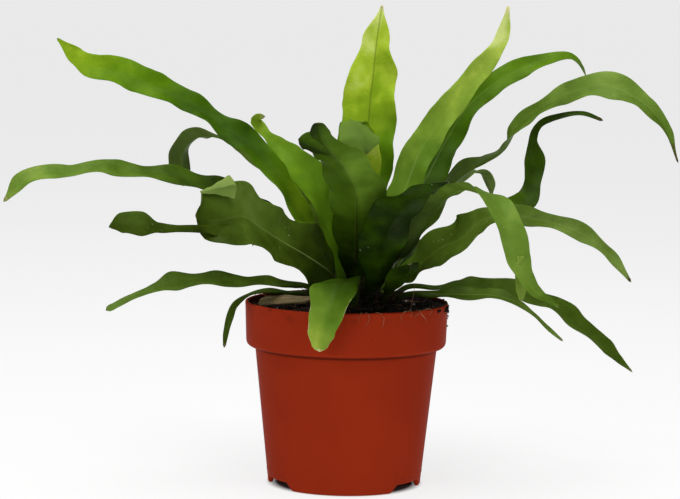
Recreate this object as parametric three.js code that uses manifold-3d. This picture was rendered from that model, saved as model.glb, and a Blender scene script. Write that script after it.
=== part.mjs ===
// A bird's-nest fern in a moulded plastic nursery pot: strap-shaped fronds with waved edges that
// rise from a short crown in the soil. Millimetres, +Z up. The origin is on the pot's axis, on the
// surface that the pot stands on. +X is to the viewer's right and -Y is towards the viewer.

import * as THREE from "three";
import { mergeVertices } from "three/addons/utils/BufferGeometryUtils.js";
import Module from "manifold-3d";

const wasm = await Module();
wasm.setup();

// Pot, a moulding of thin polypropylene. Radii are of its outer face.
const POT_HEIGHT = 108.5;
const RIM_RADIUS = 60;
const COLLAR_FOOT_RADIUS = 59.1;
const COLLAR_FOOT = 82;
const COLLAR_ROUND = 3;
const CREASE_RADIUS = 54.6;
const BODY_TOP_RADIUS = 53.9;
const HEEL_RADIUS = 45.2;
const HEEL_ROUND = 1.2;
const WALL = 1.3;
const LIP_RADIUS = 1;
const BASE_UNDERSIDE = 4;
const BASE_THICKNESS = 1.3;
const INSIDE_FILLET = 1;
const POT_SIDES = 56;

// Three notches between the feet of the foot ring, and the drain holes beside them
const NOTCH_COUNT = 3;
const NOTCH_BEARING = 87.5;
const NOTCH_HEIGHT = 4.6;
const NOTCH_FLOOR_WIDTH = 33;
const NOTCH_TOP_WIDTH = 23;
const DRAIN_RADIUS = 2.5;
const DRAIN_CIRCLE = 36;
const DRAIN_SIDES = 12;
const CUTTER_LENGTH = 10;

// Everything that touches keeps this gap.
const GAP = 0.3;

// Soil: it rises to a heap on one side and to a mound round the crown, with lumps a few
// millimetres across.
const SOIL_LEVEL = 104;
const SOIL_SIDES = 36;
const SOIL_RINGS = [52, 45, 36, 27, 18, 9, 0];
const SOIL_HEAP = 2.4;
const SOIL_HEAP_BEARING = 50;
const SOIL_MOUND = 4;
const SOIL_MOUND_RADIUS = 54.5;
const COARSE_LUMP = { height: 0.7, x: 5.3, y: 4.7 };
const FINE_LUMP = { height: 0.5, across: 3.1 };
const SOIL_CHAMFER = 1.2;
const SOIL_LEDGE = 2.4;

// Crown
const CROWN_X = 4;
const CROWN_RADIUS = 25;
const CROWN_SIDES = 24;
const CROWN_FLOOR = 95;
const CROWN_SHOULDER = 107;
const CROWN_TOP = 114;
const CROWN_DOME = [[0.86, 110], [0.6, 112.2], [0.3, 113.4]];
const RECESS_SIDES = 32;
const RECESS_DEPTH = 30;
const SOCKET_FLOOR = 101;

// Rings of stalks on the crown, from the low old fronds to the young ones in the heart. Each root
// stands a little nearer the middle than its ring.
const RING = { outer: 19.5, middle: 13, inner: 6.5, heart: 0 };
const ROOT_SHARE = 0.9;

// Frond sections
const ACROSS = 4;
const STEP = 11;
const RIB_THICKNESS = 1.5;
const EDGE_THICKNESS = 0.7;
const STALK_THICKNESS = 3.4;
const STALK_LENGTH = 26;
const CROWN_SOCKET = { grow: GAP, reach: STALK_LENGTH };
const STALK_WIDTH = 5;
const WAVE_HEIGHT = 2;
const WAVE_FULL_WIDTH = 24;
const WAVE_LENGTH = 34;
const LEFT_EDGE_WAVES = 1.12;
const WAVE_PHASE = 1.7;
const SCALLOP = 0.05;
const CHANNEL = 0.12;

const plastic = new THREE.MeshStandardMaterial({ color: 0x963520, roughness: 0.45, metalness: 0 });
const peat = new THREE.MeshStandardMaterial({ color: 0x1c1613, roughness: 0.95, metalness: 0 });
const scales = new THREE.MeshStandardMaterial({ color: 0x2e2417, roughness: 0.9, metalness: 0 });
const leaf = new THREE.MeshStandardMaterial({ color: 0x4c7a20, roughness: 0.4, metalness: 0 });
const dryLeaf = new THREE.MeshStandardMaterial({ color: 0x7d6f3c, roughness: 0.8, metalness: 0 });

const radians = THREE.MathUtils.degToRad;

// A closed geometry as a solid: only its positions are kept, and its shared points are merged.
function solid(geometry) {
  const bare = geometry.index ? geometry.toNonIndexed() : geometry.clone();
  bare.deleteAttribute("normal");
  bare.deleteAttribute("uv");
  const merged = mergeVertices(bare, 1e-4);
  const corners = Array.from(merged.index.array);
  const faces = [];
  for (let i = 0; i < corners.length; i += 3) {
    const [a, b, c] = corners.slice(i, i + 3);
    if (a !== b && b !== c && c !== a) faces.push(a, b, c);
  }
  return new wasm.Manifold(new wasm.Mesh({
    numProp: 3,
    vertProperties: new Float32Array(merged.attributes.position.array),
    triVerts: new Uint32Array(faces),
  }));
}

function meshOf(name, body, material) {
  const { vertProperties, triVerts } = body.getMesh();
  const geometry = new THREE.BufferGeometry();
  geometry.setAttribute("position", new THREE.BufferAttribute(new Float32Array(vertProperties), 3));
  geometry.setIndex(Array.from(triVerts));
  geometry.computeVertexNormals();
  const mesh = new THREE.Mesh(geometry, material);
  mesh.name = name;
  return mesh;
}

// A profile of [radius, height] turned about +Z
function turned(profile, sides) {
  const points = profile.map(([r, z]) => new THREE.Vector2(r, z));
  return new THREE.LatheGeometry(points, sides).rotateX(Math.PI / 2);
}

// The arc of a corner in a profile, from one angle to another in degrees
function corner(r, z, radius, from, to, steps = 3) {
  const points = [];
  for (let i = 0; i <= steps; i++) {
    const angle = radians(from + (to - from) * i / steps);
    points.push([r + radius * Math.cos(angle), z + radius * Math.sin(angle)]);
  }
  return points;
}

// Outer radius of the body's straight taper
function bodyRadius(z) {
  return THREE.MathUtils.mapLinear(z, 0, COLLAR_FOOT, HEEL_RADIUS, BODY_TOP_RADIUS);
}

function makePot() {
  const floorTop = BASE_UNDERSIDE + BASE_THICKNESS;
  const footInside = HEEL_RADIUS - WALL - HEEL_ROUND;
  const collarInside = COLLAR_FOOT_RADIUS - WALL;
  const bodyInside = BODY_TOP_RADIUS - WALL;
  const profile = [
    [0, floorTop],
    [0, BASE_UNDERSIDE],
    [footInside - INSIDE_FILLET, BASE_UNDERSIDE],
    [footInside, 0],
    ...corner(bodyRadius(HEEL_ROUND) - HEEL_ROUND, HEEL_ROUND, HEEL_ROUND, -90, 0),
    [bodyRadius(COLLAR_FOOT - INSIDE_FILLET), COLLAR_FOOT - INSIDE_FILLET],
    [CREASE_RADIUS, COLLAR_FOOT],
    ...corner(COLLAR_FOOT_RADIUS - COLLAR_ROUND, COLLAR_FOOT + COLLAR_ROUND, COLLAR_ROUND, -80, 0),
    ...corner(RIM_RADIUS - LIP_RADIUS, POT_HEIGHT - LIP_RADIUS, LIP_RADIUS, 0, 180, 5),
    [collarInside, COLLAR_FOOT + COLLAR_ROUND],
    [collarInside - INSIDE_FILLET, COLLAR_FOOT + 2 * INSIDE_FILLET],
    [bodyInside + INSIDE_FILLET, COLLAR_FOOT + INSIDE_FILLET],
    [bodyInside, COLLAR_FOOT],
    [bodyRadius(floorTop + INSIDE_FILLET) - WALL, floorTop + INSIDE_FILLET],
    [bodyRadius(floorTop) - WALL - INSIDE_FILLET, floorTop],
    [0, floorTop],
  ];
  let pot = solid(turned(profile, POT_SIDES));
  const outline = new THREE.Shape([
    new THREE.Vector2(-NOTCH_FLOOR_WIDTH / 2, -1),
    new THREE.Vector2(NOTCH_FLOOR_WIDTH / 2, -1),
    new THREE.Vector2(NOTCH_TOP_WIDTH / 2, NOTCH_HEIGHT),
    new THREE.Vector2(-NOTCH_TOP_WIDTH / 2, NOTCH_HEIGHT),
  ]);
  for (let i = 0; i < NOTCH_COUNT; i++) {
    const bearing = radians(NOTCH_BEARING + 360 * i / NOTCH_COUNT);
    const notch = new THREE.ExtrudeGeometry(outline, { depth: CUTTER_LENGTH, bevelEnabled: false });
    notch.rotateX(Math.PI / 2).rotateZ(Math.PI / 2);
    notch.translate(footInside - INSIDE_FILLET, 0, 0).rotateZ(bearing);
    pot = pot.subtract(solid(notch));
    const drain = new THREE.CylinderGeometry(DRAIN_RADIUS, DRAIN_RADIUS, CUTTER_LENGTH, DRAIN_SIDES);
    drain.rotateX(Math.PI / 2).translate(DRAIN_CIRCLE, 0, floorTop).rotateZ(bearing);
    pot = pot.subtract(solid(drain));
  }
  return meshOf("pot", pot, plastic);
}

// Height of the soil over its level
function heap(x, y) {
  const bearing = radians(SOIL_HEAP_BEARING);
  const slope = (x * Math.cos(bearing) + y * Math.sin(bearing)) / RIM_RADIUS;
  const coarse = COARSE_LUMP.height * Math.sin(x / COARSE_LUMP.x + 1) * Math.cos(y / COARSE_LUMP.y);
  const fine = FINE_LUMP.height * Math.sin((x - y) / FINE_LUMP.across);
  const mound = Math.max(0, 1 - Math.hypot(x - CROWN_X, y) / SOIL_MOUND_RADIUS);
  return SOIL_HEAP * slope + SOIL_MOUND * mound + coarse + fine;
}

function makeSoil() {
  const floor = BASE_UNDERSIDE + BASE_THICKNESS + GAP;
  const side = (z) => bodyRadius(z) - WALL - GAP;
  const collarSide = COLLAR_FOOT_RADIUS - WALL - 2 * GAP;
  const profile = [
    [0, floor],
    [side(floor) - SOIL_CHAMFER, floor],
    [side(floor + SOIL_CHAMFER), floor + SOIL_CHAMFER],
    [side(COLLAR_FOOT), COLLAR_FOOT],
    [side(COLLAR_FOOT), COLLAR_FOOT + SOIL_LEDGE],
    [collarSide - SOIL_CHAMFER, COLLAR_FOOT + SOIL_LEDGE + GAP],
    [collarSide, COLLAR_FOOT + SOIL_LEDGE + SOIL_CHAMFER],
    [collarSide, SOIL_LEVEL],
    ...SOIL_RINGS.map((radius) => [radius, SOIL_LEVEL]),
  ];
  const geometry = turned(profile, SOIL_SIDES);
  const points = geometry.attributes.position;
  for (let i = 0; i < points.count; i++) {
    if (points.getZ(i) < SOIL_LEVEL - 1) continue;
    points.setZ(i, points.getZ(i) + heap(points.getX(i), points.getY(i)));
  }
  const radius = CROWN_RADIUS + GAP;
  const recess = new THREE.CylinderGeometry(radius, radius, RECESS_DEPTH, RECESS_SIDES);
  recess.rotateX(Math.PI / 2).translate(CROWN_X, 0, CROWN_FLOOR - GAP + RECESS_DEPTH / 2);
  return meshOf("soil", solid(geometry).subtract(solid(recess)), peat);
}

// Rows of a frond: the bearing it leans to, then the ring and the bearing of its root on the crown,
// and the stations of its midrib from the stalk to the tip. A station is x, y, z, the blade's width,
// and its turn about the midrib in degrees: 0 is a blade that lies level across.
const FRONDS = {
  upright_centre: { lean: 80, root: ["inner", 75], stations: [
    [8, 8, 121, 5, 0], [8, 16, 144, 15, 0], [10, 27, 167, 27, 0], [11, 38, 197, 34, 0],
    [12, 44, 221, 33, 0], [14, 49, 241, 29, 0], [16, 52, 261, 17, 0], [19, 55, 283, 2, 0]] },
  upright_right: { lean: 15, root: ["inner", 10], stations: [
    [15, 4, 124, 6, 0], [20, 7, 148, 18, 30], [32, 10, 171, 20, 50], [43, 18, 198, 19, 60],
    [60, 24, 223, 16, 60], [76, 28, 243, 13, 60], [90, 29, 263, 9, 60], [94, 28, 284, 2, 60]] },
  right_back: { lean: 30, root: ["middle", 55], stations: [
    [18, 17, 126, 6, 0], [31, 33, 152, 12, 20], [48, 49, 180, 22, 40], [60, 61, 202, 19, 50],
    [74, 66, 223, 14, 50], [94, 73, 239, 15, 50], [116, 80, 249, 12, 40], [134, 84, 253, 8, 30],
    [142, 85, 249, 8, 30], [147, 86, 240, 2, 30]] },
  right_arching: { lean: 0, root: ["middle", 25], stations: [
    [23, 9, 122, 6, 0], [35, 15, 142, 14, -30], [50, 21, 164, 20, -35], [68, 24, 184, 20, -30],
    [81, 27, 191, 18, -25], [92, 28, 198, 11, -10], [99, 28, 210, 14, 20], [111, 27, 221, 13, 35],
    [132, 22, 233, 14, 50], [151, 16, 238, 19, 55], [175, 10, 227, 14, 50], [187, 4, 212, 8, 40],
    [194, 0, 193, 2, 30]] },
  right_twisted: { lean: 0, root: ["middle", 358], stations: [
    [25, -1, 121, 6, 0], [46, 1, 140, 9, 0], [67, 1, 154, 9, 20], [89, 5, 163, 10, 40],
    [105, 10, 169, 14, 65], [110, 18, 179, 10, 85], [111, 23, 191, 13, 95], [110, 24, 205, 5, 95],
    [114, 20, 214, 4, 80], [125, 14, 219, 4, 60], [138, 10, 221, 3, 60], [150, 8, 217, 2, 60]] },
  front_right_hanging: { lean: 315, root: ["middle", 296], stations: [
    [12, -15, 121, 7, 0], [23, -24, 133, 16, 5], [35, -36, 147, 23, 0], [47, -53, 167, 18, -5],
    [56, -72, 180, 15, -15], [66, -92, 184, 15, -20], [79, -111, 179, 17, 0], [88, -123, 164, 17, 25],
    [92, -129, 149, 13, 35], [96, -131, 139, 10, 30], [101, -133, 132, 10, 10], [108, -134, 127, 6, 0],
    [114, -134, 123, 2, 0]],
  lobes: [
    [[94, -129, 150, 6, 35], [94, -129, 141, 8, 35], [94, -129, 133, 6, 35], [94, -129, 125, 2, 35]]] },
  right_front_arching: { lean: 340, root: ["middle", 328], stations: [
    [27, -10, 120, 9, 15], [40, -19, 132, 22, 45], [53, -29, 144, 27, 48], [65, -38, 151, 27, 52],
    [75, -45, 161, 17, 50], [86, -50, 165, 15, 42], [112, -55, 163, 14, 35], [131, -60, 157, 13, 35],
    [147, -62, 146, 9, 35], [161, -62, 129, 2, 35]] },
  front_leaning: { lean: 262, root: ["inner", 262], stations: [
    [3, -11, 122, 7, 0], [5, -26, 138, 22, 0], [5, -48, 160, 30, 0], [4, -75, 180, 32, 0],
    [-3, -96, 196, 29, 0], [-11, -115, 206, 22, 0], [-16, -127, 214, 11, 0], [-17, -136, 221, 6, 0]],
  lobes: [
    [[-5, -106, 201, 8, 5], [-13, -114, 205, 19, 5], [-21, -120, 209, 16, 10], [-28, -121, 211, 9, 15]]] },
  centre_folded_tip: { lean: 105, root: ["heart", 0], stations: [
    [5, 1, 123, 6, 0], [6, 3, 145, 18, 0], [6, 4, 168, 25, 0], [6, 3, 188, 25, 0], [5, 1, 202, 25, 0],
    [2, -3, 211, 19, 0], [1, -8, 215, 13, 0], [4, -13, 211, 22, -5], [7, -17, 206, 27, -10],
    [9, -19, 200, 24, -10], [11, -20, 197, 16, -5]] },
  front_left_broad: { lean: 215, root: ["outer", 241], stations: [
    [-7, -18, 118, 24, -40], [-10, -26, 128, 38, -48], [-19, -35, 137, 39, -65],
    [-35, -52, 148, 31, -65], [-48, -68, 158, 33, -62], [-58, -82, 166, 38, -58],
    [-70, -93, 165, 40, -55], [-80, -99, 165, 31, -55], [-84, -104, 168, 15, -55]],
  lobes: [
    [[-58, -84, 160, 5, -55], [-68, -96, 158, 9, -58], [-79, -107, 160, 5, -65],
     [-93, -117, 161, 4, -70], [-103, -123, 162, 6, -75], [-112, -128, 164, 14, -75],
     [-122, -132, 165, 11, -75], [-129, -135, 163, 2, -75]],
    [[-82, -92, 179, 2, 55], [-76, -88, 180, 5, 55], [-70, -85, 181, 10, 55], [-65, -84, 182, 15, 55],
     [-62, -83, 182, 3, 55]]] },
  left_long: { lean: 190, root: ["middle", 192], stations: [
    [-11, -3, 123, 6, 0], [-25, -6, 142, 12, -10], [-46, -12, 160, 18, -25], [-66, -18, 172, 20, -30],
    [-86, -25, 179, 18, -32], [-105, -30, 184, 15, -32], [-126, -36, 186, 13, -32],
    [-142, -42, 189, 15, -32], [-158, -46, 186, 10, -32], [-173, -50, 186, 15, -32],
    [-186, -54, 180, 13, -35], [-196, -56, 169, 3, -35]] },
  upper_left_long: { lean: 165, root: ["middle", 157], stations: [
    [-9, 7, 124, 7, 0], [-12, 9, 132, 14, 0], [-16, 11, 141, 18, 0], [-29, 16, 160, 16, -25],
    [-41, 24, 181, 17, -40], [-55, 32, 195, 17, -45], [-69, 38, 205, 18, -45], [-85, 44, 215, 13, -40],
    [-99, 48, 224, 16, -45], [-117, 50, 231, 18, -50], [-135, 52, 239, 20, -55],
    [-155, 52, 243, 17, -55], [-166, 52, 249, 11, -55], [-178, 52, 260, 2, -55]] },
  left_back_hooked: { lean: 145, root: ["middle", 122], stations: [
    [-4, 15, 125, 6, 0], [-14, 33, 146, 12, 0], [-30, 50, 166, 14, -10], [-48, 64, 181, 14, -10],
    [-66, 74, 192, 13, -10], [-79, 82, 200, 13, 15], [-91, 87, 201, 14, 25], [-99, 92, 198, 20, 5],
    [-105, 94, 190, 25, 0], [-105, 94, 180, 19, 0], [-104, 92, 173, 12, 0], [-103, 90, 168, 4, 0]] },
  left_young_curled: { lean: 150, root: ["inner", 150], stations: [
    [-4, 4, 123, 10, 0], [-6, 5, 132, 14, -5], [-8, 5, 141, 15, -10], [-14, 6, 160, 15, -15],
    [-19, 8, 175, 20, -25], [-26, 11, 185, 22, -40], [-34, 14, 193, 15, -45], [-42, 18, 199, 10, -45],
    [-49, 21, 205, 6, -45], [-53, 24, 209, 8, -45], [-56, 24, 213, 7, -45], [-54, 22, 216, 5, -45],
    [-50, 20, 216, 3, -45]] },
  left_low: { lean: 200, root: ["outer", 199], stations: [
    [-22, -8, 117, 6, 0], [-32, -11, 119, 8, -15], [-46, -18, 121, 11, -25], [-62, -24, 122, 13, -25],
    [-80, -30, 123, 16, -25], [-97, -36, 123, 17, -25], [-110, -40, 119, 10, -25],
    [-124, -45, 114, 5, -25], [-132, -48, 110, 5, -25], [-138, -50, 107, 8, -25]] },
  left_rim_hanging: { lean: 178, root: ["outer", 174], stations: [
    [-22, 3, 111, 5, 0], [-34, 4, 112, 6, 0], [-47, 4, 113, 6, -20], [-58, 2, 111, 5, -20],
    [-66, 1, 105, 5, -40], [-69, -1, 97, 5, -60], [-71, -3, 89, 4, -70], [-72, -5, 80, 2, -70]] },
  front_rim_hanging: { lean: 262, root: ["outer", 268], stations: [
    [3, -27, 118, 8, 0], [0, -38, 125, 15, 4], [-4, -49, 126, 22, 8], [-8, -60, 119, 27, 8],
    [-11, -67, 110, 22, 4], [-14, -71, 99, 15, 0], [-15, -72, 91, 9, 5], [-15, -72, 88, 4, 10]] },
  right_low: { lean: 8, root: ["outer", 12], stations: [
    [35, 8, 116, 5, 0], [53, 10, 116, 6, 15], [67, 13, 117, 9, 25], [77, 15, 118, 14, 25],
    [90, 18, 116, 20, 25], [110, 20, 111, 17, 30], [128, 22, 103, 17, 35], [144, 22, 91, 17, 40],
    [156, 22, 81, 12, 40], [164, 22, 73, 8, 40], [173, 22, 65, 2, 40]] },
  right_low_narrow: { lean: 350, root: ["outer", 346], stations: [
    [34, -5, 113, 5, 0], [52, -8, 114, 11, 15], [69, -12, 115, 13, 25], [87, -16, 115, 12, 25],
    [100, -18, 111, 6, 25], [110, -19, 104, 4, 25], [117, -20, 97, 4, 25], [127, -20, 89, 2, 25]] },
  right_back_curled: { lean: 45, root: ["outer", 45], stations: [
    [24, 19, 120, 6, 0], [40, 37, 143, 9, 0], [55, 51, 162, 8, 0], [68, 58, 176, 9, 0],
    [76, 62, 182, 9, 0], [83, 62, 181, 8, 0], [87, 61, 175, 8, 0], [88, 60, 167, 2, 0]] },
  dry_old: { lean: 205, root: ["outer", 222], dry: true, stations: [
    [-18, -18, 111, 6, 0], [-28, -22, 111, 8, -20], [-37, -21, 111, 9, -30], [-46, -17, 110, 7, -30],
    [-52, -13, 108, 4, -30]] },
  front_right_short: { lean: 310, root: ["outer", 318], stations: [
    [24, -18, 116, 6, 0], [27, -26, 121, 14, 0], [31, -34, 127, 20, 0], [34, -41, 132, 18, 0],
    [36, -46, 136, 9, 0]] },
  back_left: { lean: 125, root: ["outer", 140], stations: [
    [-18, 20, 116, 7, 0], [-32, 44, 133, 19, 0], [-46, 72, 146, 26, 0], [-58, 98, 150, 24, 0],
    [-70, 120, 147, 14, 0], [-78, 133, 141, 3, 0]] },
  back_centre: { lean: 92, root: ["outer", 108], stations: [
    [-2, 26, 118, 7, 0], [-5, 50, 141, 20, 0], [-8, 78, 155, 27, 0], [-12, 106, 156, 24, 0],
    [-15, 127, 147, 13, 0], [-16, 137, 137, 3, 0]] },
  back_right: { lean: 65, root: ["outer", 76], stations: [
    [17, 25, 118, 7, 0], [33, 50, 131, 20, 0], [39, 78, 137, 24, 0], [42, 104, 135, 21, 0],
    [43, 124, 130, 12, 0], [44, 134, 124, 3, 0]] },
  back_upper: { lean: 92, root: ["middle", 90], stations: [
    [5, 18, 124, 6, 0], [5, 36, 151, 18, 0], [3, 56, 172, 26, 0], [0, 80, 183, 25, 0],
    [-5, 104, 183, 17, 0], [-9, 121, 176, 3, 0]] },
  front_right_broad: { lean: 285, root: ["outer", 297], stations: [
    [14, -22, 117, 6, 0], [17, -30, 127, 14, 0], [18, -42, 138, 24, 0], [21, -56, 153, 28, 0],
    [26, -70, 167, 29, 0], [33, -84, 176, 25, 0], [40, -94, 181, 18, 0], [48, -101, 185, 8, 0],
    [55, -106, 188, 2, 0]] },
};

// Root of a stalk at the bottom of its socket
function rootOf([ring, bearing]) {
  const radius = RING[ring] * ROOT_SHARE;
  const angle = radians(bearing);
  return [CROWN_X + radius * Math.cos(angle), radius * Math.sin(angle), SOCKET_FLOOR, STALK_WIDTH, 0];
}

// Sections of a frond: at each step along the midrib a closed ring of points, first across the upper
// face and then back across the lower one. The blade's side is level and square to its lean, then
// turned about the midrib. The edges rise and fall in waves, and their outline scallops with them.
// A lobe has no stalk, so it is open from its first section, and its edges lie flat.
function sections(rows, frond, index, { isLobe = false, grow = 0, reach = Infinity } = {}) {
  const midrib = new THREE.CatmullRomCurve3(rows.map(([x, y, z]) => new THREE.Vector3(x, y, z)));
  const form = new THREE.CatmullRomCurve3(rows.map((row) => new THREE.Vector3(row[3], row[4], 0)),
    false, "catmullrom", 0);
  const length = midrib.getLength();
  const count = Math.round(length / STEP);
  const lean = radians(frond.lean);
  const level = new THREE.Vector3(-Math.sin(lean), Math.cos(lean), 0);
  const rings = [];
  for (let i = 0; i <= count; i++) {
    const along = length * i / count;
    if (along > reach) break;
    const t = midrib.getUtoTmapping(i / count);
    const place = midrib.getPoint(t);
    const tangent = midrib.getTangent(t);
    const { x: width, y: turn } = form.getPoint(t);
    const side = level.clone().addScaledVector(tangent, -level.dot(tangent)).normalize();
    side.applyAxisAngle(tangent, radians(turn));
    const rise = tangent.clone().cross(side);
    const stalk = THREE.MathUtils.smoothstep(along, STALK_LENGTH * 0.5, STALK_LENGTH * 2);
    const opened = isLobe ? 1 : stalk;
    const rib = THREE.MathUtils.lerp(STALK_THICKNESS, RIB_THICKNESS, opened);
    const edge = THREE.MathUtils.lerp(STALK_THICKNESS * 0.5, EDGE_THICKNESS, opened);
    const wave = isLobe ? 0 : WAVE_HEIGHT * opened * Math.min(1, width / WAVE_FULL_WIDTH);
    const upper = [];
    const lower = [];
    for (let j = 0; j <= ACROSS; j++) {
      const v = 2 * j / ACROSS - 1;
      const waves = along / WAVE_LENGTH * (v > 0 ? 1 : LEFT_EDGE_WAVES);
      const swing = 2 * Math.PI * waves + index * WAVE_PHASE;
      const lift = wave * v * v * Math.sin(swing) + CHANNEL * width * opened * (Math.abs(v) - 0.5);
      const half = (width / 2 + grow) * (1 + SCALLOP * opened * Math.cos(swing));
      const thickness = THREE.MathUtils.lerp(rib, edge, Math.abs(v)) / 2 + grow;
      const point = place.clone().addScaledVector(side, v * half);
      upper.push(point.clone().addScaledVector(rise, lift + thickness));
      lower.unshift(point.addScaledVector(rise, lift - thickness));
    }
    rings.push([...upper, ...lower]);
  }
  return rings;
}

// A closed blade through such sections, split into triangles alike on both faces
function blade(rings) {
  const across = rings[0].length / 2 - 1;
  const around = rings[0].length;
  const faces = [];
  for (let i = 0; i + 1 < rings.length; i++) {
    for (let k = 0; k < around; k++) {
      const next = (k + 1) % around;
      const [a, b] = [i * around + k, i * around + next];
      const [c, d] = [a + around, b + around];
      if (k <= across) faces.push(a, d, b, a, c, d);
      else faces.push(a, c, b, b, c, d);
    }
  }
  const last = (rings.length - 1) * around;
  for (let j = 0; j < across; j++) {
    const [a, b, c, d] = [j, j + 1, around - 2 - j, around - 1 - j];
    faces.push(a, b, c, a, c, d);
    faces.push(last + a, last + c, last + b, last + a, last + d, last + c);
  }
  const geometry = new THREE.BufferGeometry();
  const points = rings.flat().flatMap((point) => point.toArray());
  geometry.setAttribute("position", new THREE.BufferAttribute(new Float32Array(points), 3));
  geometry.setIndex(faces);
  return geometry;
}

// A frond with its other lobes, where it has any
function makeFrond(name, frond, index) {
  let body = solid(blade(sections([rootOf(frond.root), ...frond.stations], frond, index)));
  for (const lobe of frond.lobes ?? []) {
    body = body.add(solid(blade(sections(lobe, frond, index, { isLobe: true }))));
  }
  return meshOf(`frond_${name}`, body, frond.dry ? dryLeaf : leaf);
}

function makeCrown() {
  const profile = [
    [0, CROWN_FLOOR],
    [CROWN_RADIUS - SOIL_CHAMFER, CROWN_FLOOR],
    [CROWN_RADIUS, CROWN_FLOOR + SOIL_CHAMFER],
    [CROWN_RADIUS, CROWN_SHOULDER],
    ...CROWN_DOME.map(([share, height]) => [CROWN_RADIUS * share, height]),
    [0, CROWN_TOP],
  ];
  let crown = solid(turned(profile, CROWN_SIDES).translate(CROWN_X, 0, 0));
  Object.values(FRONDS).forEach((frond, index) => {
    const stalk = sections([rootOf(frond.root), ...frond.stations], frond, index, CROWN_SOCKET);
    crown = crown.subtract(solid(blade(stalk)));
  });
  return meshOf("crown", crown, scales);
}

const group = new THREE.Group();
group.name = "potted_fern";
group.add(makePot(), makeSoil(), makeCrown());
Object.entries(FRONDS).forEach(([name, frond], index) => {
  group.add(makeFrond(name, frond, index));
});

export default group;
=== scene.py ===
# %% [markdown]
# # A potted bird's-nest fern
#
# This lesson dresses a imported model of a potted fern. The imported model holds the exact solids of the
# pot, the soil, the crown and every frond. Here each of them gets the surface that the real thing
# has: a satin moulded pot, crumbly peat, a scaly crown and waxy fronds with a keel and side veins.
#
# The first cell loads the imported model. Everything after it is placed in the same frame: metres,
# +Z up, the origin under the pot's axis, the viewer on the -Y side.

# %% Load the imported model
import math
from dataclasses import dataclass, field
from functools import partial

import bpy
import numpy as np
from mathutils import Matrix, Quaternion, Vector


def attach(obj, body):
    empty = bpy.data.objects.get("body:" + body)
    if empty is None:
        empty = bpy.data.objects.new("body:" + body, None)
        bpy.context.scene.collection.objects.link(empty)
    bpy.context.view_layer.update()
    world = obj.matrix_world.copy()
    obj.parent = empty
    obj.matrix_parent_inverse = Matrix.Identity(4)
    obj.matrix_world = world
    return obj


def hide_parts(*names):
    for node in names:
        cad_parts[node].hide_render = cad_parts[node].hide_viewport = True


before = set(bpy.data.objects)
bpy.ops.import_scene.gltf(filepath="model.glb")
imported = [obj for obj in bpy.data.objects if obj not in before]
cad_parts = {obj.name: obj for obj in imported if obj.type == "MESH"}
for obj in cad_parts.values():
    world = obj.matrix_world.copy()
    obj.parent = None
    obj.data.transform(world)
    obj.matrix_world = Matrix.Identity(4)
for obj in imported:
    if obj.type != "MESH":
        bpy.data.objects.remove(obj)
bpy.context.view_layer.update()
MM = 0.001


# %% [markdown]
# ## Colours and shader nodes
#
# Colours are given as sRGB hex values, the way a paint program shows them, but a shader
# mixes light, which is linear. One function turns one into the other. One more adds a node to a
# material with its settings and its links, so that a material below reads as a short list. There it
# is called add, and already knows its material.

# %% Colour and node helpers


def linear(colour):
    """Linear RGBA of an sRGB hex colour: each channel c becomes ((c + 0.055) / 1.055) ** 2.4, or
    c / 12.92 where it is very dark."""
    channels = [int(colour[i:i + 2], 16) / 255 for i in (1, 3, 5)]
    return [c / 12.92 if c <= 0.04045 else ((c + 0.055) / 1.055) ** 2.4 for c in channels] + [1]


def add_node(tree, kind, *values, give=0, **named):
    """Adds a shader node and gives back one of its outputs, by number or name. A value is a number, a
    colour or another node's output. Values without a name go to the first sockets in order. A name with
    a capital is a socket's, with _ for a space, and in_6 is the socket of that number. Any other name
    is an option of the node itself, and stops are the places and colours of a ramp."""
    node = tree.nodes.new("ShaderNode" + kind)
    sockets = dict(enumerate(values))
    for name, value in named.items():
        if name == "stops":
            ramp = node.color_ramp.elements
            for _ in value[2:]:
                ramp.new(0.5)
            for element, (stop, colour) in zip(ramp, value):
                element.position, element.color = stop, linear(colour)
        elif name.startswith("in_"):
            sockets[int(name[3:])] = value
        elif name[0].isupper():
            sockets[name.replace("_", " ")] = value
        else:
            setattr(node, name, value)
    for socket, value in sockets.items():
        if isinstance(value, bpy.types.NodeSocket):
            tree.links.new(value, node.inputs[socket])
        else:
            node.inputs[socket].default_value = value
    return node.outputs[give] if node.outputs else node


def new_material(name):
    """An empty material, and the function that adds nodes to it."""
    material = bpy.data.materials.new(name)
    material.use_nodes = True
    material.node_tree.nodes.clear()
    return material, partial(add_node, material.node_tree)


# a Mix node that mixes colours gives them at its output 2
COLOURS = {"data_type": "RGBA", "give": 2}
print("one hex colour in linear light:", [round(c, 3) for c in linear("#96351f")])

# %% [markdown]
# ## Surfaces from grids
#
# Every new piece here is a surface worked out as a grid of points: rows along it and columns around
# it, with one more point at each end to close it. The mesh needs only the points and, for each cell
# of the grid, its four corners. Both are whole arrays, so there is no loop over vertices.

# %% Grid helpers


def tube_faces(rows, columns, inside_out=False):
    """Faces of rings of points, numbered ring by ring, that a point at each end closes: the cells
    between the rings, with four corners, and the two fans of triangles at the ends."""
    r = np.arange(rows - 1)[:, None] * columns
    c = np.arange(columns)
    n = (c + 1) % columns
    cells = np.stack([r + c, r + n, r + columns + n, r + columns + c], axis=-1).reshape(-1, 4)
    hub = np.full(columns, rows * columns)
    last = (rows - 1) * columns
    fans = np.concatenate([np.stack([hub, n, c], axis=-1), np.stack([hub + 1, last + c, last + n], axis=-1)])
    return [cells[:, ::-1], fans[:, [0, 2, 1]]] if inside_out else [cells, fans]


def repeated(groups, copies, size):
    """Faces of some copies of a shape of that many points, one copy's points after another's."""
    offset = np.arange(copies)[:, None, None] * size
    return [(group + offset).reshape(-1, group.shape[1]) for group in groups]


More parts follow.
